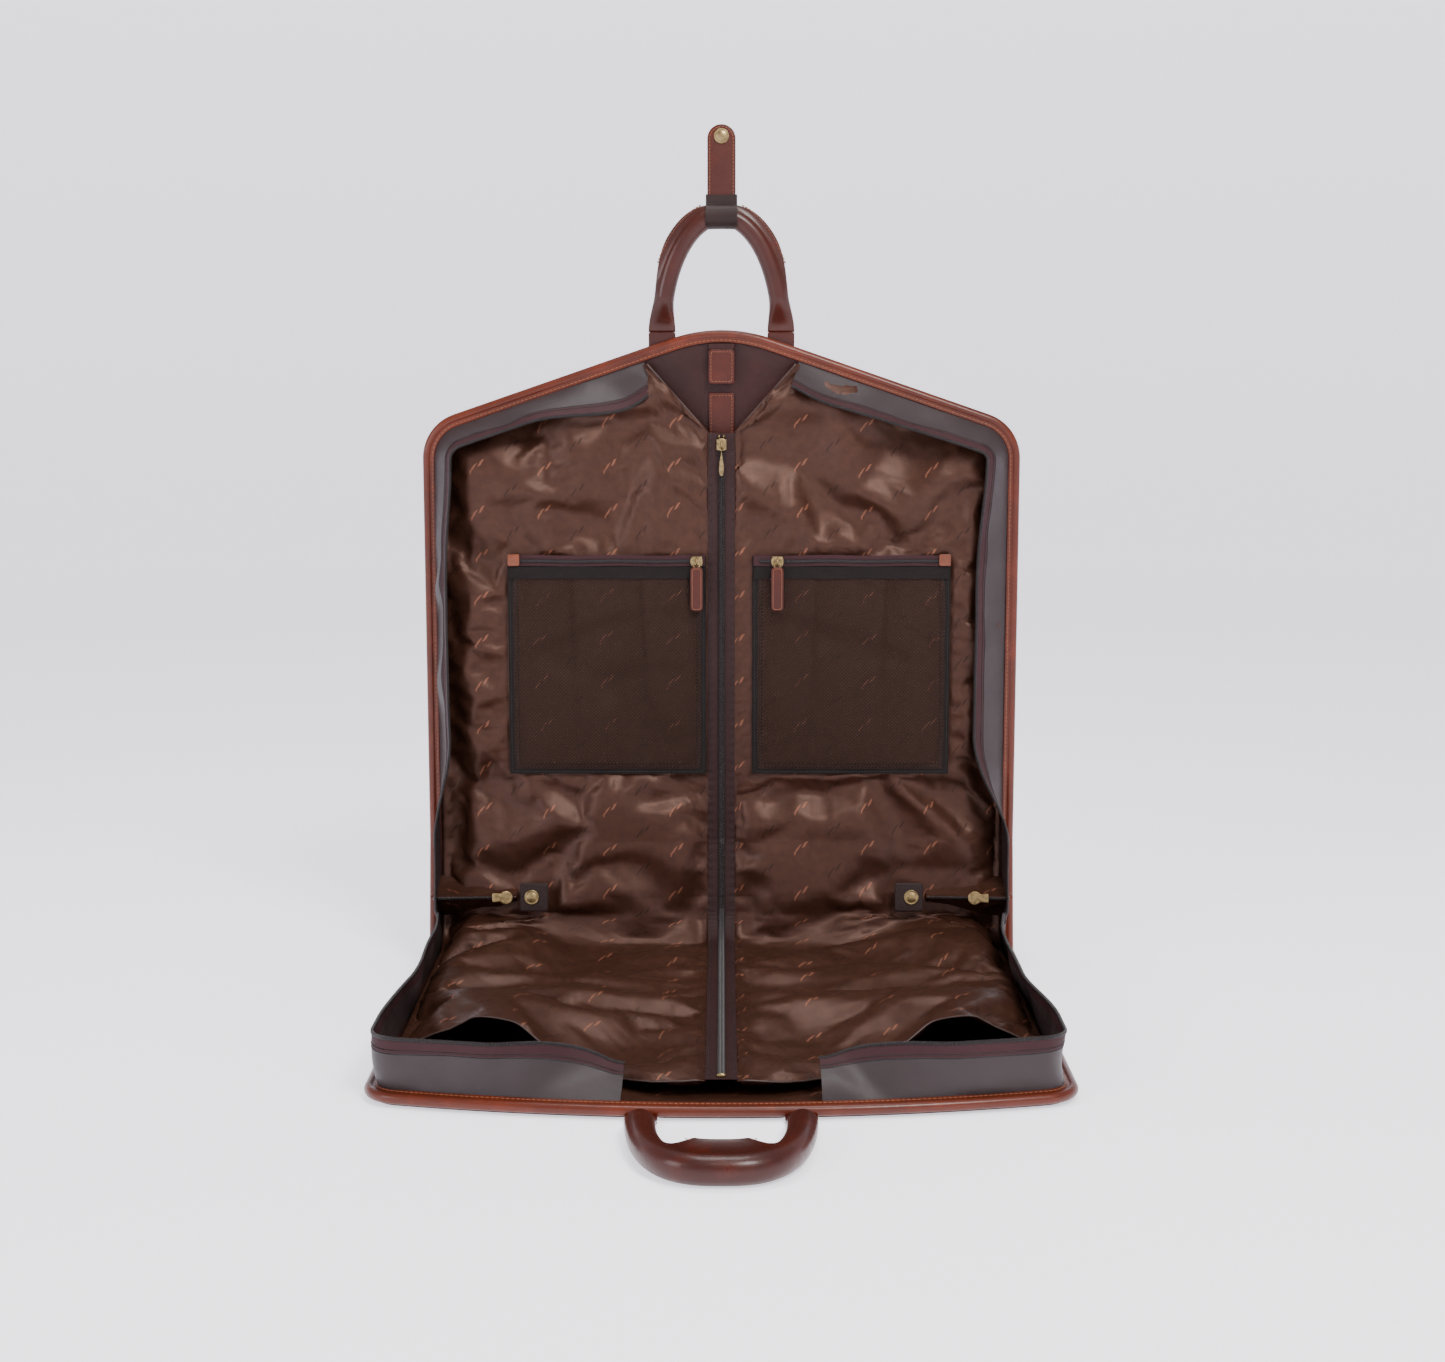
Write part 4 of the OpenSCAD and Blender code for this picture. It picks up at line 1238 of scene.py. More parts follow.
@dataclass
class Piping:
    """Rolled leather round the outline with a stitched lip on its inner side."""

    radius: float = 4.5 * MM
    height: float = 3.0 * MM
    lip_angle: float = 35.0
    lip_reach: float = 8.9 * MM
    lip_half: float = 0.8 * MM

    def section(self) -> Array:
        """The roll's circle with a gap for the lip, whose rounded tip lies lip_reach from the centre."""
        lip = math.radians(self.lip_angle)
        way, side = np.array([math.cos(lip), math.sin(lip)]), np.array([-math.sin(lip), math.cos(lip)])
        gap = math.degrees(math.asin(self.lip_half / self.radius))
        roll = arc((0.0, 0.0), self.radius, self.lip_angle + gap, self.lip_angle + 360 - gap, 22)
        tip = [way * reach + side * wide for reach, wide in
               ((self.lip_reach - 0.5 * MM, -self.lip_half), (self.lip_reach, -0.4 * self.lip_half),
                (self.lip_reach, 0.4 * self.lip_half), (self.lip_reach - 0.5 * MM, self.lip_half))]
        return np.concatenate([roll, np.array(tip)]) + [0.0, self.height]

    def build(self) -> None:
        """Makes the piping and its stitches on both halves."""
        section = self.section()
        for half in Half:
            right = BAG.edge(half, self.radius, step=3.5 * MM)
            path = np.concatenate([right, right[::-1][1:] * [-1, 1]])
            turn = -1 if half is Half.LOWER else 1
            rings = sweep_edge(path, section, turn)
            along = lengths(path)[:, None] * np.ones(len(section))
            round_it = lengths(np.concatenate([section, section[:1]]))[None, :-1] * np.ones((len(path), 1))
            piece = tube(f"piping_{half.value}", rings, np.stack([along, round_it], axis=-1))
            nodes = ("lower_piping", "spine_piping") if half is Half.LOWER else ("upper_piping",)
            bend(dress(piece, PIPING), half, 18 * MM, *nodes)
            self.stitches(half, path, turn)

    def stitches(self, half: Half, path: Array, turn: int) -> None:
        """Thread along the middle of the lip."""
        lip = math.radians(self.lip_angle)
        reach = 6.7 * MM
        place = np.array([math.cos(lip) * reach - math.sin(lip) * self.lip_half,
                          self.height + math.sin(lip) * reach + math.cos(lip) * self.lip_half])
        over = place + np.array([-math.sin(lip), math.cos(lip)]) * MM
        pair = sweep_edge(path, np.stack([place, over]), turn)
        row = stitch_row(f"piping_stitches_{half.value}", pair[:, 0], pair[:, 1] - pair[:, 0])
        bend(dress(row, THREAD), half, 18 * MM)


# ---- Side walls and their zips ----


@dataclass
class SideWall:
    """One nylon wall with its zip, from the tuck at the spine round to the gap at the far edge."""

    half: Half
    side: Side
    inset: float = 11.4 * MM
    foot_n: float = 6.4 * MM
    height: float = 35 * MM
    tape_h: float = 8.7 * MM
    gaps: dict[Half, float] = field(default_factory=lambda: {Half.LOWER: 80 * MM, Half.UPPER: 75 * MM})

    def lean(self, path: Array) -> Array:
        """The wall's lean in degrees along its path: none at the tuck, and more at its free end.

        Each wall has its own lean along the side, at the corner and at the free end.
        """
        side, corner, end = {(Half.UPPER, Side.LEFT): (20, 26, 60), (Half.UPPER, Side.RIGHT): (46, 34, 40),
                             (Half.LOWER, Side.LEFT): (10, -5, 48), (Half.LOWER, Side.RIGHT): (16, 0, 40)
                             }[self.half, self.side]
        x, v = np.abs(path[:, 0]), (-path[:, 1] if self.half is Half.LOWER else path[:, 1] - BAG.spine_w)
        start = smooth(v, 5 * MM, 110 * MM)
        round_corner = smooth(v, 250 * MM, 390 * MM)
        far = smooth(-x, -190 * MM, -85 * MM)
        return (side * (1 - round_corner) + corner * round_corner) * start * (1 - far) + end * far

    def surface(self, path: Array, heights: Array) -> Array:
        """Points of the wall: from its foot it rises by height along its lean, with folds pushed sideways."""
        lean = np.radians(self.lean(path))[:, None]
        along = lengths(path)[:, None]
        heights = heights[None] * (1 - 0.16 * smooth(along, along[-1, 0] - 46 * MM, along[-1, 0]) ** 2)
        seed = 20 + 3 * self.half.value.count("u") + self.side.value
        total = self.height + self.tape_h
        belly = np.sin(math.pi * np.clip(heights / total, 0, 1))
        folds = creases(along + 0 * belly, heights, 62, 26 * MM, seed)
        slow = value_noise(along / (70 * MM), heights / (90 * MM), seed + 5)
        push = MM * (belly * (3.0 * folds + 2.6 * slow) + 1.6 * (heights / total) * slow)
        push = push * smooth(along, 12 * MM, 60 * MM)
        inward = heights * np.sin(lean) + push * np.cos(lean)
        up = self.foot_n + heights * np.cos(lean) - push * np.sin(lean)
        section = np.stack([inward, up], axis=-1)
        turn = -1 if self.half is Half.LOWER else 1
        points = sweep_edge(path, section, turn)
        points[..., 0] *= self.side.value
        return points

    def build(self) -> None:
        """Makes the nylon, the tape, the coil's teeth and the seam between nylon and tape."""
        tag = f"{self.half.value}_{self.side.word}"
        path = BAG.edge(self.half, self.inset, stop_x=self.gaps[self.half], step=3.5 * MM)
        nylon_h = np.linspace(-3.0 * MM, self.height, 18)
        along = lengths(path)[:, None]
        grid = np.stack(np.broadcast_arrays(along, nylon_h[None]), axis=-1)
        nylon = shell(f"side_wall_{tag}", self.surface(path, nylon_h), 0.7 * MM, grid)
        bend(dress(nylon, NYLON), self.half, 30 * MM, f"{self.half.value}_gusset_{self.side.word}")
        tape_h = self.height + np.linspace(-1.5 * MM, self.tape_h, 5)
        grid = np.stack(np.broadcast_arrays(lengths(path)[:, None], tape_h[None]), axis=-1)
        lifted = self.surface(path, tape_h)
        tape = shell(f"zip_tape_{tag}", lifted, 1.1 * MM, grid)
        bend(dress(tape, TAPE), self.half, 30 * MM)
        self.coil(tag, path)
        self.seams(tag, path)

    def coil(self, tag: str, path: Array) -> None:
        """Teeth of the coil along the tape's edge, one every 1.5 mm, over a thin core."""
        top = self.height + self.tape_h
        lines = self.surface(path, np.array([top - 2 * MM, top + 1.2 * MM]))
        even = resample(np.concatenate([lines[:, 0], lines[:, 1]], axis=1), 1.5 * MM)
        low, high = even[:, :3], even[:, 3:]
        way = np.gradient(high, axis=0)
        teeth = copies(f"coil_{tag}", block_shape((3.4 * MM, 1.0 * MM, 3.0 * MM)), high, high - low,
                       np.cross(way, high - low))
        bend(dress(teeth, COIL), self.half, 30 * MM, f"{self.half.value}_zip_{self.side.word}")

    def seams(self, tag: str, path: Array) -> None:
        """Two rows of dark stitches, on the wall's outer face under the tape and on the tape."""
        rows = []
        for k, h in enumerate((self.height - 2.4 * MM, self.height + 0.8 * MM)):
            pair = self.surface(path, np.array([h, h + MM]))
            way = np.gradient(pair[:, 0], axis=0)
            out = unit(np.cross(way, pair[:, 1] - pair[:, 0]))
            outward = unit(pair[:, 0] - np.array([0.0, *BAG.at(0, BAG.t_of(self.half, 0.25), 0.02)[1:]]))
            out = out * np.sign((out * outward).sum(axis=1).mean())
            rows.append(stitch_row(f"wall_stitches_{k}_{tag}", pair[:, 0] + out * (0.45 + 0.2 * k) * MM, out,
                                   3.4 * MM, 2.2 * MM, 0.6 * MM))
        bend(dress(joined(f"wall_stitches_{tag}", rows), DARK_THREAD), self.half, 30 * MM)


@dataclass
class Tuck:
    """The folded end of the spine: a tent of cloth whose ridge carries the two closed coils."""

    side: Side
    inner_x: float = 200 * MM
    outer_x: float = 280 * MM
    low_n: float = 34 * MM
    high_n: float = 50 * MM

    def build(self) -> None:
        """Makes the tent, its teeth, and lets both ride on the spine."""
        count, ribs = 34, 23
        share = np.linspace(0.02, 1.0, count)
        x = self.inner_x + (self.outer_x - self.inner_x) * share
        ridge = self.low_n + (self.high_n - self.low_n) * np.clip(share, 0, 1) - 1.6 * MM
        across = np.linspace(-1.0, 1.0, ribs)
        depth = np.abs(across)[None] ** 1.1 * (ridge[:, None] - 9 * MM)
        spread = np.sign(across)[None] * (0.9 * MM + 0.55 * np.clip(depth - 5 * MM, 0, None))
        folds = value_noise(x[:, None] / (17 * MM), depth / (14 * MM), 41 + self.side.value)
        spread = spread + MM * 2.2 * folds * smooth(depth, 6 * MM, 16 * MM)
        xs = np.broadcast_to(x[:, None], spread.shape) + 0.5 * MM * folds
        points = BAG.at(xs * self.side.value, BAG.mid + spread, ridge[:, None] - depth, 14 * MM)
        grid = np.stack([xs, spread + depth * np.sign(across)[None]], axis=-1)
        web = shell(f"tuck_{self.side.word}", points, 0.7 * MM, grid)
        ride(dress(web, SATIN), "spine", f"tuck_{self.side.word}")
        spots = np.linspace(0.045, 1.0, 58)
        xr = self.inner_x + (self.outer_x - self.inner_x) * spots
        nr = self.low_n + (self.high_n - self.low_n) * spots
        centre = BAG.at(xr * self.side.value, np.full_like(xr, BAG.mid), nr, 14 * MM)
        side_way = BAG.at(0.25, BAG.mid + MM, 0.03) - BAG.at(0.25, BAG.mid, 0.03)
        way = np.gradient(centre, axis=0)
        teeth = copies(f"tuck_coil_{self.side.word}", block_shape((3.6 * MM, 1.0 * MM, 3.0 * MM)), centre,
                       np.broadcast_to(side_way, centre.shape), np.cross(way, side_way))
        ride(dress(teeth, COIL), "spine")


# ---- The curtain and the zip down its middle ----


@dataclass
class Curtain:
    """The satin curtain in two halves, laid from the front tray over the spine to the neck."""

    zip_x: float = 12.5 * MM
    edge_in: float = 14.5 * MM
    foot_n: float = 9 * MM
    lower_n: float = 18 * MM
    upper_n: float = 22 * MM
    round_r: float = 28 * MM
    lower_rows: int = 120
    upper_rows: int = 124
    columns: int = 54
    pockets: dict[Side, tuple[float, float]] = field(default_factory=lambda: {
        Side.LEFT: (15 * MM, 207 * MM), Side.RIGHT: (30 * MM, 222 * MM)})

    def front(self, x: Array) -> Array:
        """How far the free edge reaches at x: full at the zip, sweeping back to the side walls."""
        x = np.abs(x)
        return (455 - 122 * smooth(x, 30 * MM, 225 * MM) ** 0.9) * MM

    def top(self, x: Array) -> Array:
        """How far the curtain reaches at x on the upper half: the V's edge, then the outline."""
        x = np.abs(x)
        v_edge = 402 * MM + (x - self.zip_x) * 1.12
        return np.minimum(v_edge, BAG.v_top(self.edge_in, x))

    def coordinates(self) -> tuple[Array, Array]:
        """x and t of the right half's grid, whose row lower_rows - 1 lies on the spine's middle."""
        share = np.linspace(0.0, 1.0, self.columns)
        eased = share + 0.12 * np.sin(math.pi * share) * share
        xs = self.zip_x + (BAG.half_w - self.edge_in - self.zip_x) * eased
        low, high = -self.front(xs), BAG.spine_w + self.top(xs)
        middle = np.full_like(xs, BAG.mid)
        _, t_low = column_grid(xs, low, middle, np.linspace(0, 1, self.lower_rows))
        _, t_high = column_grid(xs, middle, high, np.linspace(0, 1, self.upper_rows))
        t = np.concatenate([t_low, t_high[1:]])
        return np.broadcast_to(xs[None], t.shape), t

    def rest_height(self, side: Side, x: Array, t: Array) -> Array:
        """The height before it crumples: low at the walls' foot, level inside, arched at the front."""
        from_side = BAG.half_w - self.edge_in - x
        v_top = BAG.v_top(self.edge_in, np.clip(x[0], 0, None))[None]
        from_top = np.where(x > 80 * MM, BAG.spine_w + v_top - t, 1.0)
        inner = smooth(np.minimum(from_side, from_top), 0.0, 38 * MM)
        level = self.lower_n + (self.upper_n - self.lower_n) * smooth(t, -150 * MM, 20 * MM)
        height = self.foot_n + (level - self.foot_n) * inner
        at_front = t + self.front(x)
        arch_x = 190 * MM if side is Side.LEFT else 196 * MM
        arch = 24 * MM * bump(x, arch_x, 34 * MM) * (1 - smooth(at_front, 0, 95 * MM))
        hollow = 7 * MM * bump(x, 95 * MM, 45 * MM) * (1 - smooth(at_front, 0, 70 * MM))
        return height + arch - hollow * smooth(x, 20 * MM, 50 * MM)

    def pinned(self, side: Side, x: Array, t: Array) -> Array:
        """How firmly each point is held: the zip, the sides, the top, the pocket's outline and the tuck."""
        hold = np.zeros_like(x)
        hold[:, :1] = 1.0
        hold[:, -2:] = 1.0
        hold[-1:] = 1.0
        hold[:1] = 1.0
        hold[self.lower_rows - 1, x[0] > 205 * MM] = 1.0
        v = t - BAG.spine_w
        x0, x1 = self.pockets[side]
        on_x = (np.abs(x - x0) < 4 * MM) | (np.abs(x - x1) < 4 * MM)
        on_v = (np.abs(v - 73 * MM) < 4.5 * MM) | (np.abs(v - 280 * MM) < 4.5 * MM)
        inside = (x > x0 - 4 * MM) & (x < x1 + 4 * MM) & (v > 69 * MM) & (v < 285 * MM)
        hold[inside & (on_x | on_v)] = 1.0
        return hold

    def crumple(self, side: Side, points: Array, normal: Array, x: Array, t: Array) -> Array:
        """Cloth simulation of the slack sheet, started from soft folds worked out by formula.

        Args:
            side: which half of the curtain.
            points: its smooth surface.
            normal: that surface's directions.
            x: the grid's x.
            t: the grid's t.

        Returns:
            Where the points come to rest.
        """
        hold = self.pinned(side, x, t)
        cloth = make_piece("cloth_work", points.reshape(-1, 3), grid_faces(*x.shape))
        group = cloth.vertex_groups.new(name="held")
        group.add(np.flatnonzero(hold.ravel() >= 1.0).tolist(), 1.0, "REPLACE")
        push = np.random.default_rng(61 + side.value).normal(0.0, 0.15 * MM, x.size)
        first = np.where(t > BAG.mid, creases(x, t, 58, 62 * MM, 51), creases(x, t, -48, 58 * MM, 53))
        free = (1 - smooth(hold)) * smooth(np.abs(t - BAG.mid), 0, 30 * MM)
        push = push + 4.5 * MM * (first * free).ravel()
        start = points.reshape(-1, 3) + normal.reshape(-1, 3) * push[:, None]
        cloth.data.vertices.foreach_set("co", start.astype(np.float32).ravel())
        modifier = cloth.modifiers.new("Cloth", "CLOTH")
        settings = modifier.settings
        settings.vertex_group_mass = "held"
        settings.quality = 6
        settings.mass = 0.25
        settings.tension_stiffness = settings.compression_stiffness = settings.shear_stiffness = 12.0
        settings.bending_stiffness = 1.2
        settings.tension_damping = settings.compression_damping = settings.shear_damping = 6.0
        settings.bending_damping = 0.6
        settings.air_damping = 2.5
        settings.shrink_min = settings.shrink_max = -0.07
        settings.effector_weights.gravity = 0.0
        modifier.collision_settings.use_collision = False
        modifier.point_cache.frame_end = 40
        scene = bpy.context.scene
        for step in range(1, 29):
            scene.frame_set(step)
        evaluated = cloth.evaluated_get(bpy.context.evaluated_depsgraph_get()).to_mesh()
        rest = np.empty(len(evaluated.vertices) * 3, np.float32)
        evaluated.vertices.foreach_get("co", rest)
        mesh = cloth.data
        bpy.data.objects.remove(cloth)
        bpy.data.meshes.remove(mesh)
        scene.frame_set(1)
        return rest.reshape(points.shape).astype(float)

    def limits(self, side: Side, x: Array, t: Array) -> tuple[Array, Array]:
        """The least and the greatest height that the sheet may take, under pockets, tabs and tucks less."""
        v = t - BAG.spine_w
        x0, x1 = self.pockets[side]
        room = 10 * MM
        in_x = smooth(x, x0 - room, x0) * (1 - smooth(x, x1, x1 + room))
        pocket = in_x * smooth(v, 60 * MM, 70 * MM) * (1 - smooth(v, 284 * MM, 294 * MM))
        tab = smooth(x, 148 * MM, 166 * MM) * bump(t, BAG.mid, 44 * MM)
        pull = bump(x, 0, 26 * MM) * smooth(v, -30 * MM, 0)
        high = 36 * MM - 12.4 * MM * np.clip(pocket + pull, 0, 1) - 16.5 * MM * np.clip(1.5 * tab, 0, 1)
        corner, end = (26, 60) if side is Side.LEFT else (34, 40)
        lean = np.radians(corner + (end - corner) * smooth(-x, -190 * MM, -85 * MM))
        from_top = 0.94 * (BAG.v_top(11.4 * MM, x[0])[None] - v)
        under = (v > 300 * MM) & (x > 72 * MM) & (from_top < 50 * MM * np.sin(lean))
        wall = 2.2 * MM + np.clip(from_top, 0, None) / np.tan(lean)
        below = np.clip(np.minimum(high, wall), 5.4 * MM, None)
        return np.full_like(x, 4.6 * MM), np.where(under, below, high)

    def build(self) -> None:
        """Makes both halves of the curtain, each cut in two at the spine's middle."""
        for side in Side:
            x, t = self.coordinates()
            height = self.rest_height(side, x, t)
            smooth_points = BAG.at(x, t, height, self.round_r)
            raised = BAG.at(x, t, height + MM, self.round_r)
            normal = unit(raised - smooth_points)
            moved = self.crumple(side, smooth_points, normal, x, t) - smooth_points
            lift = (moved * normal).sum(axis=-1)
            low, high = self.limits(side, x, t)
            slide = moved - normal * lift[..., None]
            reached = height + lift
            over = np.clip(reached - high + 3 * MM, 0, None)
            eased = np.where(over > 0, high - 3 * MM * np.exp(-over / (3 * MM)), reached)
            under = np.clip(low + 2 * MM - eased, 0, None)
            eased = np.where(under > 0, low + 2 * MM * np.exp(-under / (2 * MM)), eased)
            pucker = MM * 1.1 * np.exp(-(x - self.zip_x) / (9 * MM)) * np.sin(
                2 * math.pi * t / (8.5 * MM) + 2.4 * value_noise(t / (30 * MM), x * 0, 71))
            rise = eased - height + pucker * smooth(x, 13 * MM, 17 * MM)
            final = smooth_points + normal * rise[..., None] + slide
            final[..., 0] = np.where(x > 14 * MM, final[..., 0], x)
            flat = np.stack([x, t], axis=-1)
            cut = self.lower_rows - 1
            for half, rows in ((Half.LOWER, slice(0, cut + 3)), (Half.UPPER, slice(cut, None))):
                part = final[rows].copy()
                if half is Half.LOWER:
                    part[-3:] -= normal[rows][-3:] * np.array([0.1, 0.35, 0.4])[:, None, None] * MM
                part[..., 0] *= side.value
                piece = shell(f"curtain_{half.value}_{side.word}", part, 0.5 * MM,
                              flat[rows] * [side.value, 1])
                nodes = [f"{half.value}_curtain_{side.word}"]
                nodes += ["spine_curtain"] if half is Half.LOWER else []
                bend(dress(piece, SATIN), half, half.reach, *nodes)
            self.hem(side, final, x)

    def hem(self, side: Side, final: Array, x: Array) -> None:
        """A rolled hem along the free front edge and one along the V at the neck."""
        v_cols = np.flatnonzero(x[-1] < 74 * MM)
        for half, line in ((Half.LOWER, final[0, 1:]), (Half.UPPER, final[-1, v_cols])):
            line = resample(line * [side.value, 1, 1], 3 * MM)
            piece = wire(f"curtain_hem_{half.value}_{side.word}", line, 0.9 * MM, 8, (0.0, 0.3, 1.0))
            bend(dress(piece, SATIN_HEM), half, half.reach)


SATIN_HEM = Plain("satin_hem", "satin", (0.034, 0.0145, 0.010), 0.5, scale=1800.0)


@dataclass
class CentreZip:
    """The zip down the curtain's middle: tape, closed coil, stops and seams."""

    half_tape: float = 13 * MM
    tape_n: float = 23.4 * MM
    coil_n: float = 25.2 * MM
    lower_end: float = 455 * MM
    upper_end: float = 402 * MM
    round_r: float = 28 * MM

    def drop(self, t: Array) -> Array:
        """How much lower the zip lies than on the upper half, as the curtain beside it does."""
        return 4 * MM * (1 - smooth(t, -150 * MM, 20 * MM))

    def build(self) -> None:
        """Makes each half's tape, teeth and stitches from the spine's middle outwards."""
        for half in Half:
            end = self.lower_end if half is Half.LOWER else self.upper_end
            t = np.linspace(BAG.mid, float(BAG.t_of(half, end)), 190)
            x = np.linspace(-self.half_tape, self.half_tape, 9)
            wave = np.sin(2 * math.pi * t / (8.5 * MM))[:, None]
            ripple = MM * 0.5 * wave * (np.abs(x)[None] / self.half_tape) ** 2
            n = self.tape_n - self.drop(t)[:, None] + ripple
            tape = shell(f"centre_tape_{half.value}", BAG.at(x[None], t[:, None], n, self.round_r), 0.8 * MM,
                         np.stack(np.broadcast_arrays(x[None], t[:, None]), axis=-1))
            nodes = ["lower_centre_zip", "spine_centre_zip"] if half is Half.LOWER else ["upper_centre_zip"]
            bend(dress(tape, CENTRE_TAPE), half, half.reach, *nodes)
            self.teeth(half, t)
            self.stitches(half, t)

    def teeth(self, half: Half, t: Array) -> None:
        """Two rows of teeth that mesh, each tooth half a step from its neighbour across."""
        stop = t[-1] + (6 * MM if half is Half.LOWER else -6 * MM)
        spots = np.arange(0, abs(stop - BAG.mid), 0.75 * MM) * np.sign(stop - BAG.mid) + BAG.mid
        side = np.where(np.arange(len(spots)) % 2 == 0, 1.0, -1.0)
        n = self.coil_n - self.drop(spots)
        centre = BAG.at(side * 1.3 * MM, spots, n, self.round_r)
        up = BAG.at(side * 1.3 * MM, spots, n + MM, self.round_r) - centre
        along = np.broadcast_to(UPRIGHT, centre.shape)
        teeth = copies(f"centre_coil_{half.value}", block_shape((3.9 * MM, 0.95 * MM, 2.2 * MM)), centre,
                       along, up)
        bend(dress(teeth, COIL), half, half.reach)

    def stitches(self, half: Half, t: Array) -> None:
        """A seam on each side of the tape."""
        rows = []
        for side in Side:
            x = np.full_like(t, side.value * (self.half_tape - 2.5 * MM))
            line = BAG.at(x, t, self.tape_n - self.drop(t) + 0.55 * MM, self.round_r)
            up = BAG.at(x, t, self.tape_n - self.drop(t) + 1.55 * MM, self.round_r) - line
            rows.append(stitch_row(f"row_{side.word}", line, up, 3.2 * MM, 2.2 * MM, 0.55 * MM))
        bend(dress(joined(f"centre_stitches_{half.value}", rows), DARK_THREAD), half,
             half.reach)


# ---- Flat leather and brass ----


@dataclass(frozen=True)
class Plane:
    """A flat frame in space: u and v along it and n out of it."""

    origin: Array
    u: Array
    v: Array

    def at(self, u: Array, v: Array, n: Array) -> Array:
        """The point (u, v, n) in space."""
        out = np.cross(self.u, self.v)
        parts = np.broadcast_arrays(np.asarray(u, float), np.asarray(v, float), np.asarray(n, float))
        return self.origin + sum(p[..., None] * way for p, way in zip(parts, (self.u, self.v, out)))


UP = np.array([0.0, 0.0, 1.0])
UPPER_PLANE = Plane(BAG.fold_upper, UPRIGHT, UP)
SPINE_WAY = unit(BAG.fold_upper - BAG.fold_lower)
SPINE_PLANE = Plane(BAG.fold_lower, UPRIGHT, SPINE_WAY)
LOWER_OUT = Plane(BAG.fold_lower, UPRIGHT, np.array([0.0, 1.0, 0.0]))


def rounded_rectangle(u0: float, u1: float, v0: float, v1: float, radius: float, step: float = 1.2 * MM
                      ) -> Array:
    """An outline with round corners, evenly spaced and anticlockwise."""
    centres = ((u1 - radius, v0 + radius), (u1 - radius, v1 - radius),
               (u0 + radius, v1 - radius), (u0 + radius, v0 + radius))
    corners = [arc(centre, radius, 90 * k - 90, 90 * k, 7) for k, centre in enumerate(centres)]
    ring = np.concatenate(corners)
    return resample(np.concatenate([ring, ring[:1]]), step)[:-1]


def plate(name: str, plane: Plane, outline: Array, low: float, high: float, bevel: float, crown: float = 0.0
          ) -> bpy.types.Object:
    """A plate with rounded edges: rings of its outline stacked from the bottom out, up and in again.

    Args:
        name: the piece's name.
        plane: the frame it lies in.
        outline: its edge, which can be seen whole from its middle.
        low: its underside's height.
        high: its top's height at the edge.
        bevel: the radius of its edges.
        crown: how much its middle rises over its edge.

    Returns:
        The object.
    """
    middle = outline.mean(axis=0)
    reach = np.linalg.norm(outline - middle, axis=1).mean()
    turn = np.radians([0.0, 30.0, 60.0, 90.0])
    rings = [(0.45, low), (0.8, low)]
    rings += [(1 - bevel / reach * (1 - math.sin(a)), low + bevel * (1 - math.cos(a))) for a in turn]
    rings += [(1 - bevel / reach * (1 - math.cos(a)), high - bevel * (1 - math.sin(a))) for a in turn]
    rings += [(k, high + crown * (1 - k * k)) for k in (0.85, 0.6, 0.35)]
    shaped = [plane.at(*((middle + (outline - middle) * k).T), n) for k, n in rings]
    return tube(name, np.stack(shaped))


def edge_stitches(name: str, plane: Plane, outline: Array, inset: float, height: float,
                  pitch: float = 3.2 * MM) -> bpy.types.Object:
    """Stitches inside the edge of a flat piece, at an inset of its outline."""
    way = unit(np.roll(outline, -1, axis=0) - np.roll(outline, 1, axis=0))
    line = outline + inset * np.stack([-way[:, 1], way[:, 0]], axis=1)
    line = np.concatenate([line, line[:1]])
    place = plane.at(line[:, 0], line[:, 1], height)
    up = plane.at(line[:, 0], line[:, 1], height + MM) - place
    return stitch_row(name, place, up, pitch, 2.2 * MM, 0.6 * MM)


def wire(name: str, line: Array, radius: Array | float, sides: int = 10,
         guide: tuple[float, float, float] = (0.31, 0.27, 0.91)) -> bpy.types.Object:
    """A round tube of a radius along a line, each ring square to it and started from across a guide."""
    way = unit(np.gradient(line, axis=0))
    first = unit(np.cross(way, guide))
    second = np.cross(way, first)
    angle = np.linspace(0, 2 * math.pi, sides, endpoint=False)
    radius = np.broadcast_to(np.asarray(radius, float), len(line))[:, None, None]
    ring = np.cos(angle)[None, :, None] * first[:, None] + np.sin(angle)[None, :, None] * second[:, None]
    return tube(name, line[:, None] + radius * ring)


def cap_profile() -> Array:
    """A press stud's cap: a rolled rim, a groove inside it and a low dome."""
    rim = arc((6.6 * MM, 0.7 * MM), 0.65 * MM, -80, 110, 7)
    rise = np.cos(np.linspace(math.pi / 2, 0, 7))
    dome = np.stack([np.linspace(5.7, 0.2, 7), 1.0 + 1.2 * rise], axis=1) * MM
    return np.concatenate([[[1.0 * MM, 0.0]], rim, dome])


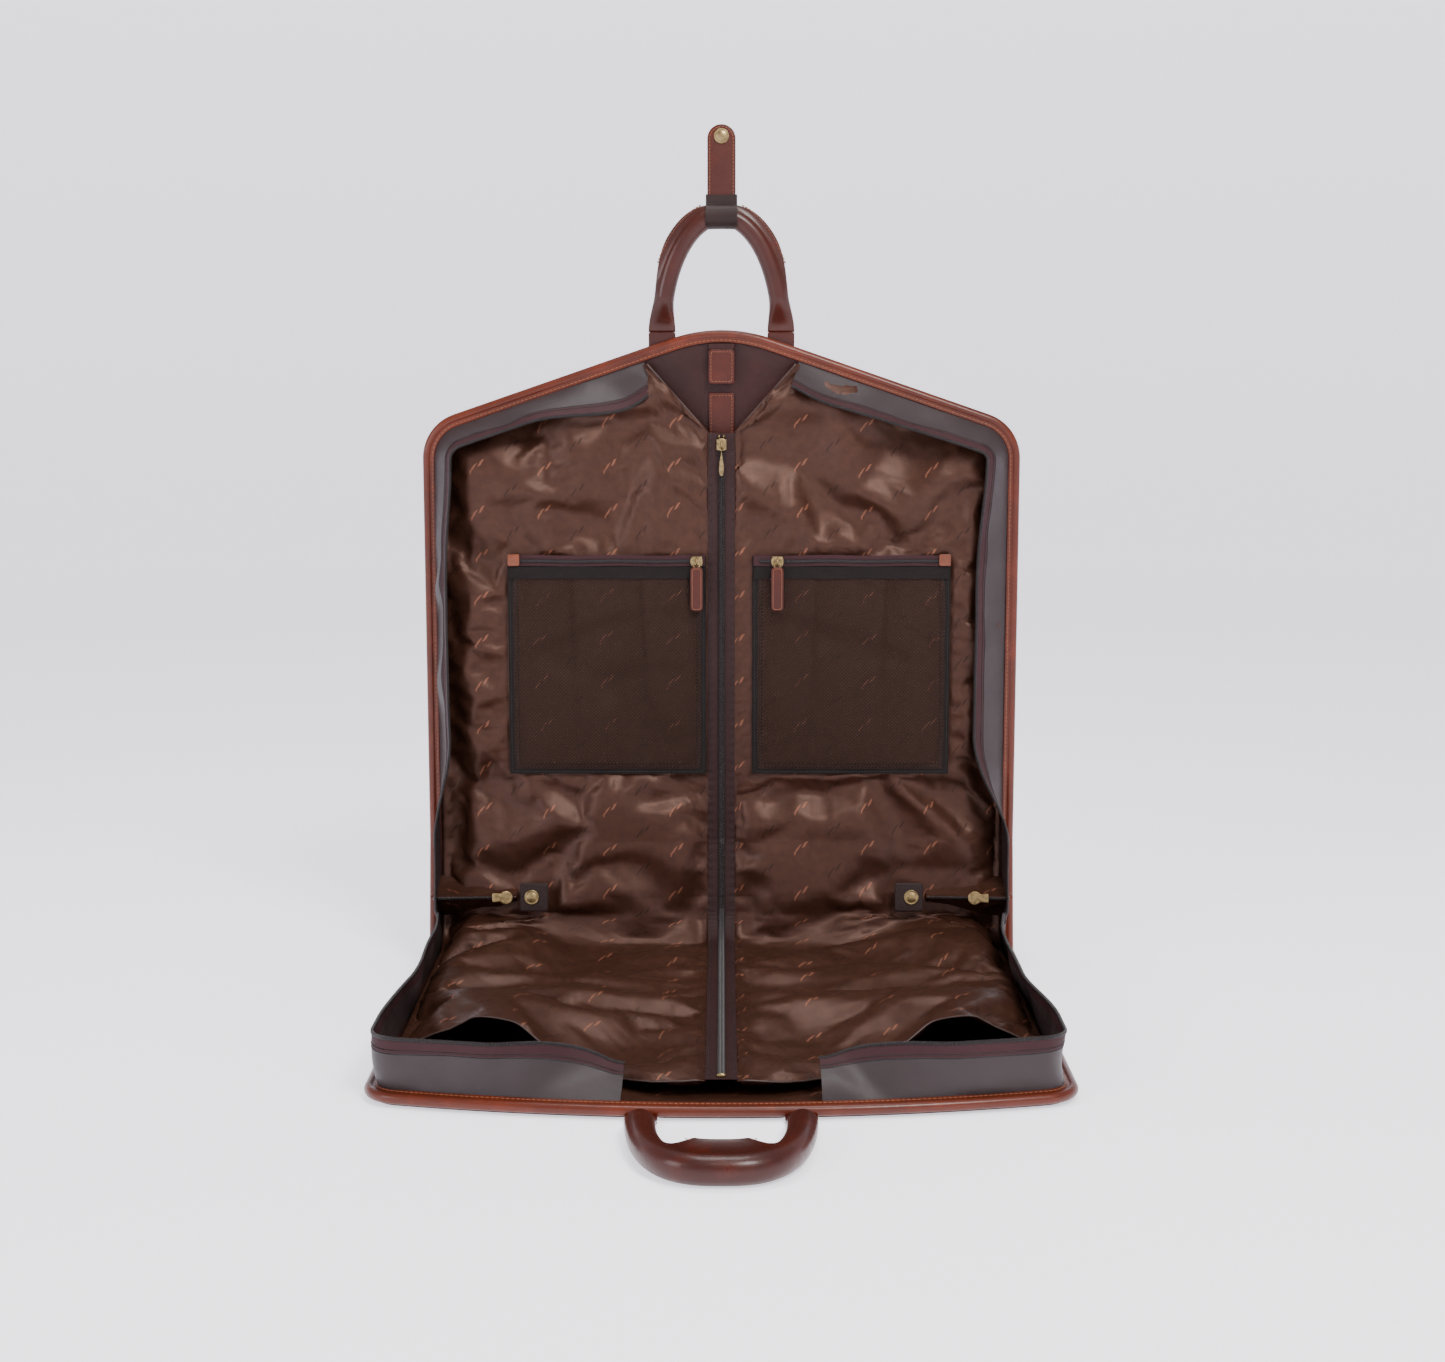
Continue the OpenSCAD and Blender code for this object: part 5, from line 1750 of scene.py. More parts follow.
@dataclass
class Neck:
    """The dark facing inside the neck, the hanger clasp and the patch under it."""

    clasp_half: float = 12.5 * MM
    facing_n: float = 3.5 * MM

    def build(self) -> None:
        """Makes the facing as a sheet, and the clasp and the patch as stitched straps."""
        xs = np.linspace(-78 * MM, 78 * MM, 61)
        top = BAG.v_top(12.2 * MM, xs)
        x, v = column_grid(xs, np.full_like(xs, 380 * MM), top, np.linspace(0, 1, 40))
        lift = MM * (0.5 * creases(x, v, 75, 40 * MM, 81) + 2.2 * smooth(v - top[None], -16 * MM, 0))
        points = UPPER_PLANE.at(x, v, self.facing_n + lift)
        facing = shell("neck_facing", points, 1.2 * MM, np.stack([x, v], axis=-1))
        seat = rounded_rectangle(-self.clasp_half, self.clasp_half, 481.5 * MM, 487 * MM, MM)
        block = plate("clasp_block", UPPER_PLANE, seat, 3.4 * MM, 12.4 * MM, 0.8 * MM)
        facing = joined("neck_facing", [facing, block])
        ride(dress(facing, FACING), "upper_half", "neck_facing")
        patch = rounded_rectangle(-self.clasp_half, self.clasp_half, 376 * MM, 440 * MM, 2 * MM)
        piece = plate("clasp_patch", UPPER_PLANE, patch, 4.6 * MM, 6.6 * MM, 0.7 * MM)
        ride(dress(piece, STRAP), "upper_half", "clasp_patch")
        row = edge_stitches("patch_stitches", UPPER_PLANE, patch, 2.4 * MM, 6.75 * MM)
        ride(dress(row, THREAD), "upper_half")
        outline = rounded_rectangle(-self.clasp_half, self.clasp_half, 448.5 * MM, 481.5 * MM, 3 * MM)
        strap = plate("hanger_clasp", UPPER_PLANE, outline, 11.2 * MM, 13.6 * MM, 0.9 * MM, 0.5 * MM)
        end = rounded_rectangle(-self.clasp_half, self.clasp_half, 450 * MM, 456.5 * MM, 1.5 * MM)
        toe = plate("clasp_toe", UPPER_PLANE, end, 4.9 * MM, 12.6 * MM, 1.2 * MM)
        strap = joined("hanger_clasp", [strap, toe])
        ride(dress(strap, STRAP), "clasp", "hanger_clasp")
        row = edge_stitches("clasp_stitches", UPPER_PLANE, outline, 2.4 * MM, 13.85 * MM)
        ride(dress(row, THREAD), "clasp")


@dataclass
class Pocket:
    """A mesh pocket on the upper curtain with its binding, zip, end tab, slider and leather pull."""

    side: Side
    inner_x: float
    slider_x: float
    width: float = 192 * MM
    low_v: float = 70 * MM
    high_v: float = 284 * MM
    band: float = 10 * MM
    pleats: tuple[float, float] = (0.31, 0.68)

    def out(self, x: Array) -> Array:
        """x on this pocket's side."""
        return np.asarray(x, float) * self.side.value

    def build(self) -> None:
        """Makes the pocket's pieces from the curtain outwards."""
        tag = self.side.word
        self.net(tag)
        self.binding(tag)
        self.zip(tag)
        self.pull(tag)

    def net(self, tag: str) -> None:
        """The mesh: a shallow bag that bulges by a sine each way, with two vertical folded pleats.

        Beside each pleat the mesh steps down 2.4 mm within 3 mm and comes back slowly over 34 mm.
        """
        u, w = np.linspace(0, 1, 90), np.linspace(0, 1, 60)
        x = self.inner_x + 5 * MM + (self.width - 10 * MM) * u
        v = self.low_v + 5 * MM + (self.high_v - self.low_v - 15 * MM) * w
        bulge = np.sin(math.pi * u)[None] ** 0.45 * np.sin(math.pi * (0.04 + 0.9 * w))[:, None] ** 0.5
        bulge = bulge * (1 - smooth(v, self.high_v - 30 * MM, self.high_v - 17 * MM))[:, None]
        height = 26.7 * MM + 4.9 * MM * bulge
        for pleat in self.pleats:
            off = (u - pleat)[None] * self.width + 2 * MM * np.sin(5 * w)[:, None]
            fold = smooth(off, -3 * MM, 0) * (1 - smooth(off, 0, 34 * MM))
            height = height - 5.2 * MM * fold * (0.35 + 0.65 * w[:, None]) * bulge
        xx, vv = np.meshgrid(x, v)
        height = height + MM * 0.6 * creases(xx, vv, 35, 30 * MM, 90 + self.side.value) * bulge
        piece = shell(f"pocket_mesh_{tag}", UPPER_PLANE.at(self.out(xx), vv, height), 0.35 * MM,
                      np.stack([xx, vv], axis=-1))
        ride(dress(piece, NET), "upper_half", f"pocket_mesh_{tag}")

    def binding(self, tag: str) -> None:
        """Ribbed tape round the pocket, thicker at its stitched edges, with a wide band under the zip."""
        parts = []
        x0, x1 = self.inner_x, self.inner_x + self.width
        low, high, band = self.low_v, self.high_v, self.band
        runs = [((x0, low + band / 2), (x1, low + band / 2), band, 0.0),
                ((x0 + band / 2, low), (x0 + band / 2, high), band, 0.06 * MM),
                ((x1 - band / 2, low), (x1 - band / 2, high), band, 0.06 * MM),
                ((x0, high - 5 * MM), (x1, high - 5 * MM), band, 0.1 * MM),
                ((x0 + 1 * MM, high - 16 * MM), (x1 - 1 * MM, high - 16 * MM), 12 * MM, 2.3 * MM)]
        for number, (start, stop, wide, extra) in enumerate(runs):
            start, stop = np.array(start), np.array(stop)
            way = unit(stop - start)
            side = np.array([-way[1], way[0]])
            along = np.linspace(0, float(np.linalg.norm(stop - start)), 60)
            across = np.linspace(-wide / 2, wide / 2, 9)
            spot = start + along[:, None, None] * way + across[None, :, None] * side
            swell = MM * 0.25 * (np.abs(across) / (wide / 2)) ** 4
            swell = swell + 0.15 * MM * np.sin(along / (9 * MM))[:, None]
            n = 26.1 * MM + extra + swell
            parts.append(shell(f"band_{number}", UPPER_PLANE.at(self.out(spot[..., 0]), spot[..., 1], n),
                               1.6 * MM if number < 4 else 1.0 * MM,
                               np.stack(np.broadcast_arrays(along[:, None], across[None]), axis=-1)))
        piece = joined(f"pocket_binding_{tag}", parts)
        ride(dress(piece, BINDING), "upper_half", f"pocket_binding_{tag}")
        lines = []
        for inset in (2.2 * MM, 8 * MM):
            outline = rounded_rectangle(x0 + inset, x1 - inset, low + inset, high - 0.5 * MM, 1.5 * MM)
            keep = outline[outline[:, 1] < high - 12 * MM]
            first = int(np.argmax(np.linalg.norm(np.diff(keep, axis=0), axis=1))) + 1
            keep = np.roll(keep, -first, axis=0)
            place = UPPER_PLANE.at(self.out(keep[:, 0]), keep[:, 1], 27.15 * MM)
            lines.append(stitch_row("row", place, np.broadcast_to(-np.array([0.0, 1.0, 0.0]), place.shape),
                                    3.0 * MM, 2.0 * MM, 0.55 * MM))
        ride(dress(joined(f"pocket_stitches_{tag}", lines), DARK_THREAD), "upper_half")

    def zip(self, tag: str) -> None:
        """The zip's tape and closed coil along the pocket's top, and the leather end tab."""
        x = np.linspace(self.inner_x + 1 * MM, self.inner_x + self.width - 1 * MM, 80)
        v = self.high_v + np.linspace(-9.7 * MM, 0.6 * MM, 7)
        wave = MM * 0.35 * np.sin(x / (13 * MM))[:, None]
        points = UPPER_PLANE.at(self.out(x)[:, None], v[None] + wave, 28.2 * MM + wave * 0.3)
        tape = shell(f"pocket_tape_{tag}", points, 0.8 * MM,
                     np.stack(np.broadcast_arrays(x[:, None], v[None]), axis=-1))
        ride(dress(tape, TAPE), "upper_half")
        spots = np.arange(x[0] + 6 * MM, x[-1] - 4 * MM, 0.75 * MM)
        row = np.where(np.arange(len(spots)) % 2 == 0, 0.6, -0.6) * MM
        wave = MM * 0.35 * np.sin(spots / (13 * MM))
        centre = UPPER_PLANE.at(self.out(spots), self.high_v - 5 * MM + row + wave, 29.3 * MM)
        teeth = copies(f"pocket_coil_{tag}", block_shape((3.0 * MM, 0.95 * MM, 1.7 * MM)), centre,
                       np.broadcast_to(UP, centre.shape), np.broadcast_to(-LOWER_OUT.v, centre.shape))
        ride(dress(teeth, COIL), "upper_half", f"pocket_zip_{tag}")
        u0, u1 = sorted(self.out(np.array([x[-1] - 11 * MM, x[-1] + 0.5 * MM])))
        outline = rounded_rectangle(u0, u1, self.high_v - 9.4 * MM, self.high_v + 2 * MM, 1.4 * MM)
        piece = plate(f"pocket_end_tab_{tag}", UPPER_PLANE, outline, 30.7 * MM, 32.2 * MM, 0.6 * MM, 0.4 * MM)
        ride(dress(piece, END_TAB), "upper_half", "pocket_end_tabs")

    def pull(self, tag: str) -> None:
        """The slider, its ring, and the stitched leather pull that hangs from it."""
        at_x, at_v = float(self.out(self.slider_x)), self.high_v - 5 * MM
        slider(f"pocket_slider_{tag}", at_x, at_v, 30.3 * MM, f"pocket_slider_{tag}", True)
        pin_n = 34.5 * MM
        angle = np.linspace(0.0, 2 * math.pi, 25)
        ring = UPPER_PLANE.at(at_x + 3.1 * MM * np.sin(angle), at_v - 2.6 * MM - 3.6 * MM * np.cos(angle),
                              pin_n + 0 * angle)
        loop = wire(f"pocket_ring_{tag}", ring, 0.75 * MM)
        ride(dress(loop, BRASS), f"pocket_pull_{tag}")
        outline = rounded_rectangle(at_x - 6 * MM, at_x + 6 * MM, at_v - 48 * MM, at_v - 5 * MM, 3.5 * MM)
        strap = plate(f"pocket_pull_{tag}", UPPER_PLANE, outline, pin_n - 1.3 * MM, pin_n + 1.2 * MM,
                      0.8 * MM, 0.3 * MM)
        ride(dress(strap, STRAP), f"pocket_pull_{tag}", f"pocket_pull_{tag}")
        row = edge_stitches(f"pull_stitches_{tag}", UPPER_PLANE, outline, 1.8 * MM, pin_n + 1.35 * MM,
                            2.6 * MM)
        ride(dress(row, THREAD), f"pocket_pull_{tag}")


def slider(name: str, at_x: float, at_v: float, coil_top: float, body: str, across: bool) -> None:
    """A zip slider: a waisted top plate, two skirts beside the coil and an arched bridge.

    Args:
        name: the piece's name.
        at_x: where it is across the bag.
        at_v: where it is along the upper half.
        coil_top: the height of the coil's top.
        body: the body that it rides on, also the CAD node it replaces.
        across: whether it runs across the bag.
    """
    angle = np.linspace(0, 2 * math.pi, 48, endpoint=False)
    long, wide = 6.0 * MM, 4.7 * MM
    waist = 1 - 0.16 * np.cos(2 * angle) ** 2
    a = np.sign(np.cos(angle)) * np.abs(np.cos(angle)) ** 0.6 * wide * waist
    b = np.sign(np.sin(angle)) * np.abs(np.sin(angle)) ** 0.6 * long
    outline = np.stack([b, a] if across else [a, b], axis=1)[:: -1 if across else 1] + [at_x, at_v]
    top = plate(name, UPPER_PLANE, outline, coil_top + 0.3 * MM, coil_top + 1.9 * MM, 0.6 * MM, 0.3 * MM)
    parts = [top]
    for side in Side:
        u = np.array([side.value * 4.2 * MM - 0.5 * MM, side.value * 4.2 * MM + 0.5 * MM])
        w = np.array([-5.2 * MM, 5.2 * MM])
        if across:
            u, w = w, u
        skirt = rounded_rectangle(at_x + u[0], at_x + u[1], at_v + w[0], at_v + w[1], 0.45 * MM, 0.6 * MM)
        parts.append(plate("skirt", UPPER_PLANE, skirt, coil_top - 1.5 * MM, coil_top + 0.8 * MM, 0.3 * MM))
    turn = np.linspace(0, math.pi, 13)
    arch = UPPER_PLANE.at(at_x, at_v + 3.2 * MM * np.cos(turn), coil_top + 1.5 * MM + 3.6 * MM * np.sin(turn))
    parts.append(wire("bridge", arch, 0.8 * MM))
    ride(dress(joined(name, parts), BRASS), body, body)


@dataclass
class SnapTab:
    """A leather tab with a press stud at one end of the spine, and the slider beside it."""

    side: Side
    slider_x: float
    tab_in: float = 170 * MM
    tab_out: float = 197.6 * MM
    stud_x: float = 186 * MM
    height: float = 28 * MM
    axis_n: float = 32.5 * MM

    def build(self) -> None:
        """Makes the tab, its stitches, the cap, the socket and the side slider."""
        tag, sign = self.side.word, self.side.value
        u0, u1 = sorted((sign * self.tab_in, sign * self.tab_out))
        outline = rounded_rectangle(u0, u1, BAG.mid - self.height / 2, BAG.mid + self.height / 2, 2.2 * MM)
        tab = plate(f"snap_tab_{tag}", SPINE_PLANE, outline, self.axis_n - 1.5 * MM, self.axis_n + 1.5 * MM,
                    1.0 * MM, 0.4 * MM)
        ride(dress(tab, TAB), f"tab_{tag}", f"tab_{tag}")
        row = edge_stitches(f"tab_stitches_{tag}", SPINE_PLANE, outline, 2.2 * MM, self.axis_n + 1.7 * MM)
        ride(dress(row, DARK_THREAD), f"tab_{tag}")
        out = unit(np.cross(SPINE_PLANE.u, SPINE_PLANE.v))
        top = SPINE_PLANE.at(sign * self.stud_x, BAG.mid, self.axis_n + 1.8 * MM)
        cap = lathe(f"snap_cap_{tag}", cap_profile(), top, out)
        low = SPINE_PLANE.at(sign * self.stud_x, BAG.mid, self.axis_n - 1.5 * MM)
        socket_ring = np.array([[1.9, 0.0], [4.6, 0.0], [4.9, -0.6], [4.9, -3.6], [4.4, -4.2], [3.2, -4.3],
                                [2.9, -3.8], [2.7, -1.6], [1.9, -1.2]]) * MM
        cup = lathe("socket", socket_ring[::-1], low, out, 32)
        cap = joined(f"snap_cap_{tag}", [cap, cup])
        ride(dress(cap, BRASS), f"tab_{tag}", f"tab_snap_{tag}")
        self.side_slider(tag, sign)

    def side_slider(self, tag: str, sign: int) -> None:
        """A slider on the tuck's ridge: a round head that runs on into a square tail, over a grooved body."""
        slope = math.atan2(16.0, 80.0)
        way = unit(math.cos(slope) * sign * UPRIGHT + math.sin(slope) * np.cross(UPRIGHT, SPINE_WAY))
        ridge = 34 * MM + (self.slider_x - 200 * MM) * math.tan(slope)
        side_way = SPINE_WAY * sign
        plane = Plane(SPINE_PLANE.at(sign * self.slider_x, BAG.mid, ridge), way, side_way)
        head = arc((-0.5 * MM, 0.0), 6.6 * MM, 35, 325, 40)
        tail = np.array([[9.0, -4.4], [12.5, -4.4], [13.0, -3.6], [13.0, 3.6], [12.5, 4.4], [9.0, 4.4]]) * MM
        ring = np.concatenate([head, tail])
        outline = resample(np.concatenate([ring, ring[:1]]), 0.8 * MM)[:-1]
        top = plate(f"side_slider_{tag}", plane, outline, 2.3 * MM, 3.9 * MM, 0.6 * MM, 0.25 * MM)
        parts = [top]
        for edge in Side:
            block = rounded_rectangle(-6 * MM, 6 * MM, edge.value * 3.2 * MM - 0.8 * MM,
                                      edge.value * 3.2 * MM + 0.8 * MM, 0.6 * MM, 0.7 * MM)
            parts.append(plate("skirt", plane, block, -2.4 * MM, 2.6 * MM, 0.4 * MM))
        ride(dress(joined(f"side_slider_{tag}", parts), BRASS), f"side_slider_{tag}", f"side_slider_{tag}")


# ---- Handles ----


@dataclass
class Handle:
    """A rolled leather handle with a stitched lip, its rope core, and the two tabs that carry it."""

    half: Half
    foot_x: float
    axis_v: float
    reach: float
    roll_r: float
    square: float
    lip_way: int
    lip: float
    foot_w: float = 26 * MM
    foot_half_t: float = 1.2 * MM
    axis_n: float = -2.4 * MM
    chape_start: float = 438 * MM

    def place(self, x: Array, v: Array, n: Array) -> Array:
        """A point of the half's plane in space."""
        return BAG.at(x, BAG.t_of(self.half, v), n)

    def frames(self, angles: Array) -> tuple[Array, Array, Array, Array, Array]:
        """Centre line, inward direction, half width, half thickness and roundness along the handle.

        The centre line is x = foot_x cos^square, v = axis_v + reach sin^square. Near the feet the section
        is a flat strap, and it becomes the round roll over 34 mm.
        """
        def line(a: Array) -> Array:
            """The centre line at angles in degrees."""
            c, s = np.cos(np.radians(a)), np.sin(np.radians(a))
            return np.stack([self.foot_x * np.sign(c) * np.abs(c) ** self.square,
                             self.axis_v + self.reach * np.abs(s) ** self.square], axis=1)

        centre = line(angles)
        way = unit(line(np.clip(angles + 0.5, 0, 180)) - line(np.clip(angles - 0.5, 0, 180)))
        way[0], way[-1] = (0.0, 1.0), (0.0, -1.0)
        inward = np.stack([-way[:, 1], way[:, 0]], axis=1)
        k = smooth((centre[:, 1] - self.axis_v) / (34 * MM))
        height = self.axis_n + (-BAG.cover_t + self.roll_r - self.axis_n) * k
        half_w = self.foot_w / 2 + (self.roll_r - self.foot_w / 2) * k
        half_t = self.foot_half_t + (self.roll_r - self.foot_half_t) * k
        return np.concatenate([centre, height[:, None]], axis=1), inward, half_w, half_t, k

    def lip_share(self, angles: Array) -> Array:
        """How far the lip stands out: none at the feet, full on the roll, and less inside the keeper."""
        low, ramp = (14, 34) if self.half is Half.UPPER else (42, 30)
        share = smooth(angles, low, low + ramp) * (1 - smooth(angles, 180 - low - ramp, 180 - low))
        if self.half is Half.UPPER:
            share = share * (1 - 0.82 * bump(angles, 90, 17))
        return share

    def build(self) -> None:
        """Makes the roll with its lip and black edge, the stitches, the core's finish and the tabs."""
        tag = self.half.value
        body = f"{tag}_handle"
        foot = np.linspace(0, 24, 20)
        angles = np.concatenate([foot, np.linspace(26, 154, 110), foot + 156])
        centre, inward, half_w, half_t, _ = self.frames(angles)
        lip_turn = math.radians(0 if self.lip_way > 0 else 180)
        tilt = math.radians(50 if self.half is Half.LOWER else 18)
        way = np.array([math.cos(lip_turn), math.sin(tilt)])
        way = way / np.linalg.norm(way)
        base = math.degrees(math.atan2(way[1], way[0]))
        round_angles = np.radians(base + np.linspace(17, 343, 30))
        roll = np.stack([np.cos(round_angles), np.sin(round_angles)], axis=1)
        share = self.lip_share(angles)[:, None]
        out = 1.0 + share * self.lip / self.roll_r
        side = np.array([-way[1], way[0]])
        tips = []
        for reach, wide in ((0.93, -0.13), (1.0, -0.11), (1.0, 0.11), (0.93, 0.13)):
            far = 0.96 + (out - 0.96) * reach
            tips.append(way[None] * far + side[None] * (wide + 0.1 * wide * (1 - share)))
        tips = np.stack(tips, axis=1)
        section = np.concatenate([np.broadcast_to(roll, (len(angles), *roll.shape)), tips], axis=1)
        a = section[..., 0] * half_w[:, None]
        b = section[..., 1] * half_t[:, None]
        x = centre[:, :1] + inward[:, :1] * a
        v = centre[:, 1:2] + inward[:, 1:] * a
        rings = self.place(x, v, centre[:, 2:] + b)
        marks = np.zeros(section.shape[1], int)
        marks[30:33] = 1
        piece = tube(f"handle_{tag}", rings, None, marks)
        ride(dress(piece, HANDLE, EDGE), body, f"{tag}_handle_leather")
        dress(frame["nodes"][f"{tag}_handle_core"], ROPE)
        self.stitches(tag, body, angles, centre, inward, way)
        self.tabs(tag)

    def stitches(self, tag: str, body: str, angles: Array, centre: Array, inward: Array, way: Array) -> None:
        """Two rows of thread on each face of the lip, where the lip stands out."""
        rows = []
        keep = self.lip_share(angles) > 0.55
        splits = np.split(np.flatnonzero(keep), np.flatnonzero(np.diff(np.flatnonzero(keep)) > 1) + 1)
        side = np.array([-way[1], way[0]])
        for run in splits:
            for face in (-1, 1):
                for reach in (0.28, 0.78):
                    spot = way * (self.roll_r + self.lip * reach) + side * face * self.roll_r * 0.135
                    over = spot + side * face * MM
                    pair = []
                    for p in (spot, over):
                        x = centre[run, 0] + inward[run, 0] * p[0]
                        v = centre[run, 1] + inward[run, 1] * p[0]
                        pair.append(self.place(x, v, centre[run, 2] + p[1]))
                    if len(run) > 3:
                        rows.append(stitch_row("row", pair[0], pair[1] - pair[0], 3.4 * MM, 2.3 * MM,
                                               0.6 * MM))
        ride(dress(joined(f"handle_stitches_{tag}", rows), THREAD), body)

    def tabs(self, tag: str) -> None:
        """The two tabs sewn in the cover's seats, with a row of stitches round each."""
        parts, rows = [], []
        stop = self.axis_v + 0.4 * MM
        out = self.place(0, 0.4, -1) - self.place(0, 0.4, 0)
        v_way = unit(self.place(0, 0.4 + MM, 0) - self.place(0, 0.4, 0))
        plane = Plane(self.place(0.0, 0.0, 0.0), np.cross(v_way, unit(out)), v_way)
        for side in Side:
            u0, u1 = (side.value * self.foot_x + k * self.foot_w / 2 for k in (-1, 1))
            outline = rounded_rectangle(u0, u1, self.chape_start, stop, 2.5 * MM)
            parts.append(plate("tab", plane, outline, 1.9 * MM, 4.2 * MM, 0.8 * MM))
            inner = rounded_rectangle(u0, u1, self.chape_start, 486 * MM, 2.5 * MM)
            rows.append(edge_stitches("row", plane, inner, 2.6 * MM, (4.1 if tag == "lower" else 4.35) * MM))
        ride(dress(joined(f"handle_tabs_{tag}", parts), HANDLE), self.half.body, f"{tag}_handle_tabs")
        ride(dress(joined(f"tab_stitches_{tag}", rows), THREAD), self.half.body)


@dataclass
class Keeper:
    """The hanging strap whose sleeve wraps the upper handle, with stitched edges and a press stud."""

    axis_v: float = 607.16 * MM
    axis_n: float = 5.3 * MM
    bore: float = 11.3 * MM
    sleeve_w: float = 30 * MM
    strap_w: float = 27 * MM
    length: float = 86 * MM
    strap_t: float = 3 * MM

    def build(self) -> None:
        """Makes the sleeve as a band wrapped once round, the strap, its stitches and the stud."""
        angle = np.radians(np.linspace(-255, 75, 60))
        radius = self.bore + 0.2 * MM
        v = self.axis_v + radius * np.sin(angle)
        n = self.axis_n + radius * np.cos(angle)
        up = np.linspace(1, 9, 5) * MM
        v = np.concatenate([v, self.axis_v + radius + up])
        n = np.concatenate([n, np.linspace(n[-1], self.axis_n + 2.6 * MM, 5)])
        x = np.linspace(-self.sleeve_w / 2, self.sleeve_w / 2, 15)
        waist = 1 - 0.06 * np.cos(math.pi * x / self.sleeve_w)
        points = UPPER_PLANE.at(x[None] * np.ones((len(v), 1)),
                                self.axis_v + (v[:, None] - self.axis_v) * waist[None] ** 0.5,
                                self.axis_n + (n[:, None] - self.axis_n) * waist[None] ** 0.5)
        grid = np.stack(np.broadcast_arrays(x[None], v[:, None]), axis=-1)
        sleeve = shell("keeper_sleeve", points, 1.9 * MM, grid)
        ride(dress(sleeve, TAB), "keeper")
        start = self.axis_v + self.bore + 1.2 * MM
        stop = self.axis_v + self.length
        half = self.strap_w / 2
        end = arc((0.0, stop - half), half, 0, 180, 25)
        ring = np.concatenate([[[-half, start], [half, start]], end])
        outline = resample(np.concatenate([ring, ring[:1]]), 1.5 * MM)[:-1]
        low, high = self.axis_n - self.strap_t / 2, self.axis_n + self.strap_t / 2
        strap = plate("keeper_strap", UPPER_PLANE, outline, low, high, 0.9 * MM, 0.3 * MM)
        ride(dress(strap, STRAP), "keeper", "keeper_strap")
        rows = [edge_stitches("row", UPPER_PLANE, outline, 2.3 * MM, high + 0.15 * MM),
                edge_stitches("row", UPPER_PLANE, outline, 2.3 * MM, low - 0.15 * MM)]
        ride(dress(joined("keeper_stitches", rows), THREAD), "keeper")
        out = np.cross(UPPER_PLANE.u, UPPER_PLANE.v)
        spot = stop - 11 * MM
        cap = lathe("keeper_snap", cap_profile(), UPPER_PLANE.at(0.0, spot, high + 0.2 * MM), out)
        cup = lathe("cup", np.array([[1.9, 0.0], [4.6, 0.0], [4.9, 0.6], [4.7, 2.6], [3.4, 3.0], [2.9, 2.4],
                                     [2.7, 1.0], [1.9, 0.8]]) * MM, UPPER_PLANE.at(0.0, spot, low), -out, 32)
        ride(dress(joined("keeper_snap", [cap, cup]), BRASS), "keeper", "keeper_snap")


def centre_slider_and_pull() -> None:
    """The curtain zip's slider and its brass pull: an eye, a neck and a drop-shaped blade."""
    v, top = 391 * MM, 26.5 * MM
    slider("centre_slider", 0.0, v, top, "centre_slider", False)
    pin_n = top + 4.2 * MM
    angle = np.linspace(0.0, 2 * math.pi, 25)
    eye = wire("eye", UPPER_PLANE.at(2.5 * MM * np.sin(angle), v - 2.0 * MM - 3.2 * MM * np.cos(angle),
                                     pin_n + 0 * angle), 0.7 * MM)
    turn = np.linspace(0, 2 * math.pi, 60, endpoint=False)
    wide = 3.4 * MM * (0.55 - 0.45 * np.sin(turn))
    outline = np.stack([wide * np.cos(turn), v - 17.5 * MM + 12.5 * MM * np.sin(turn)], axis=1)
    blade = plate("centre_pull", UPPER_PLANE, outline, pin_n - 0.8 * MM, pin_n + 0.8 * MM, 0.5 * MM, 0.2 * MM)
    ride(dress(joined("centre_pull", [blade, eye]), BRASS), "centre_pull", "centre_pull")


def zip_stops() -> None:
    """Brass stops: one across the lower end of the curtain zip, two beside its upper end."""
    low = CentreZip()
    t = float(BAG.t_of(Half.LOWER, low.lower_end)) + 4 * MM
    stop = copies("zip_stop_lower", block_shape((7.5 * MM, 2.6 * MM, 3.2 * MM), 0.9),
                  BAG.at(np.zeros(1), np.array([t]), np.array([low.coil_n - 4 * MM])), UPRIGHT[None],
                  np.array([[0.0, 0.0, 1.0]]))
    ride(dress(stop, BRASS), "lower_half")
    sides = np.array([-2.2, 2.2]) * MM
    stop = copies("zip_stops_upper", block_shape((2.8 * MM, 1.8 * MM, 3.0 * MM), 0.9),
                  UPPER_PLANE.at(sides, np.full(2, 399 * MM), np.full(2, low.coil_n)),
                  np.broadcast_to(UP, (2, 3)), np.broadcast_to(-LOWER_OUT.v, (2, 3)))
    ride(dress(stop, BRASS), "upper_half")


# ---- Floor, light and camera ----


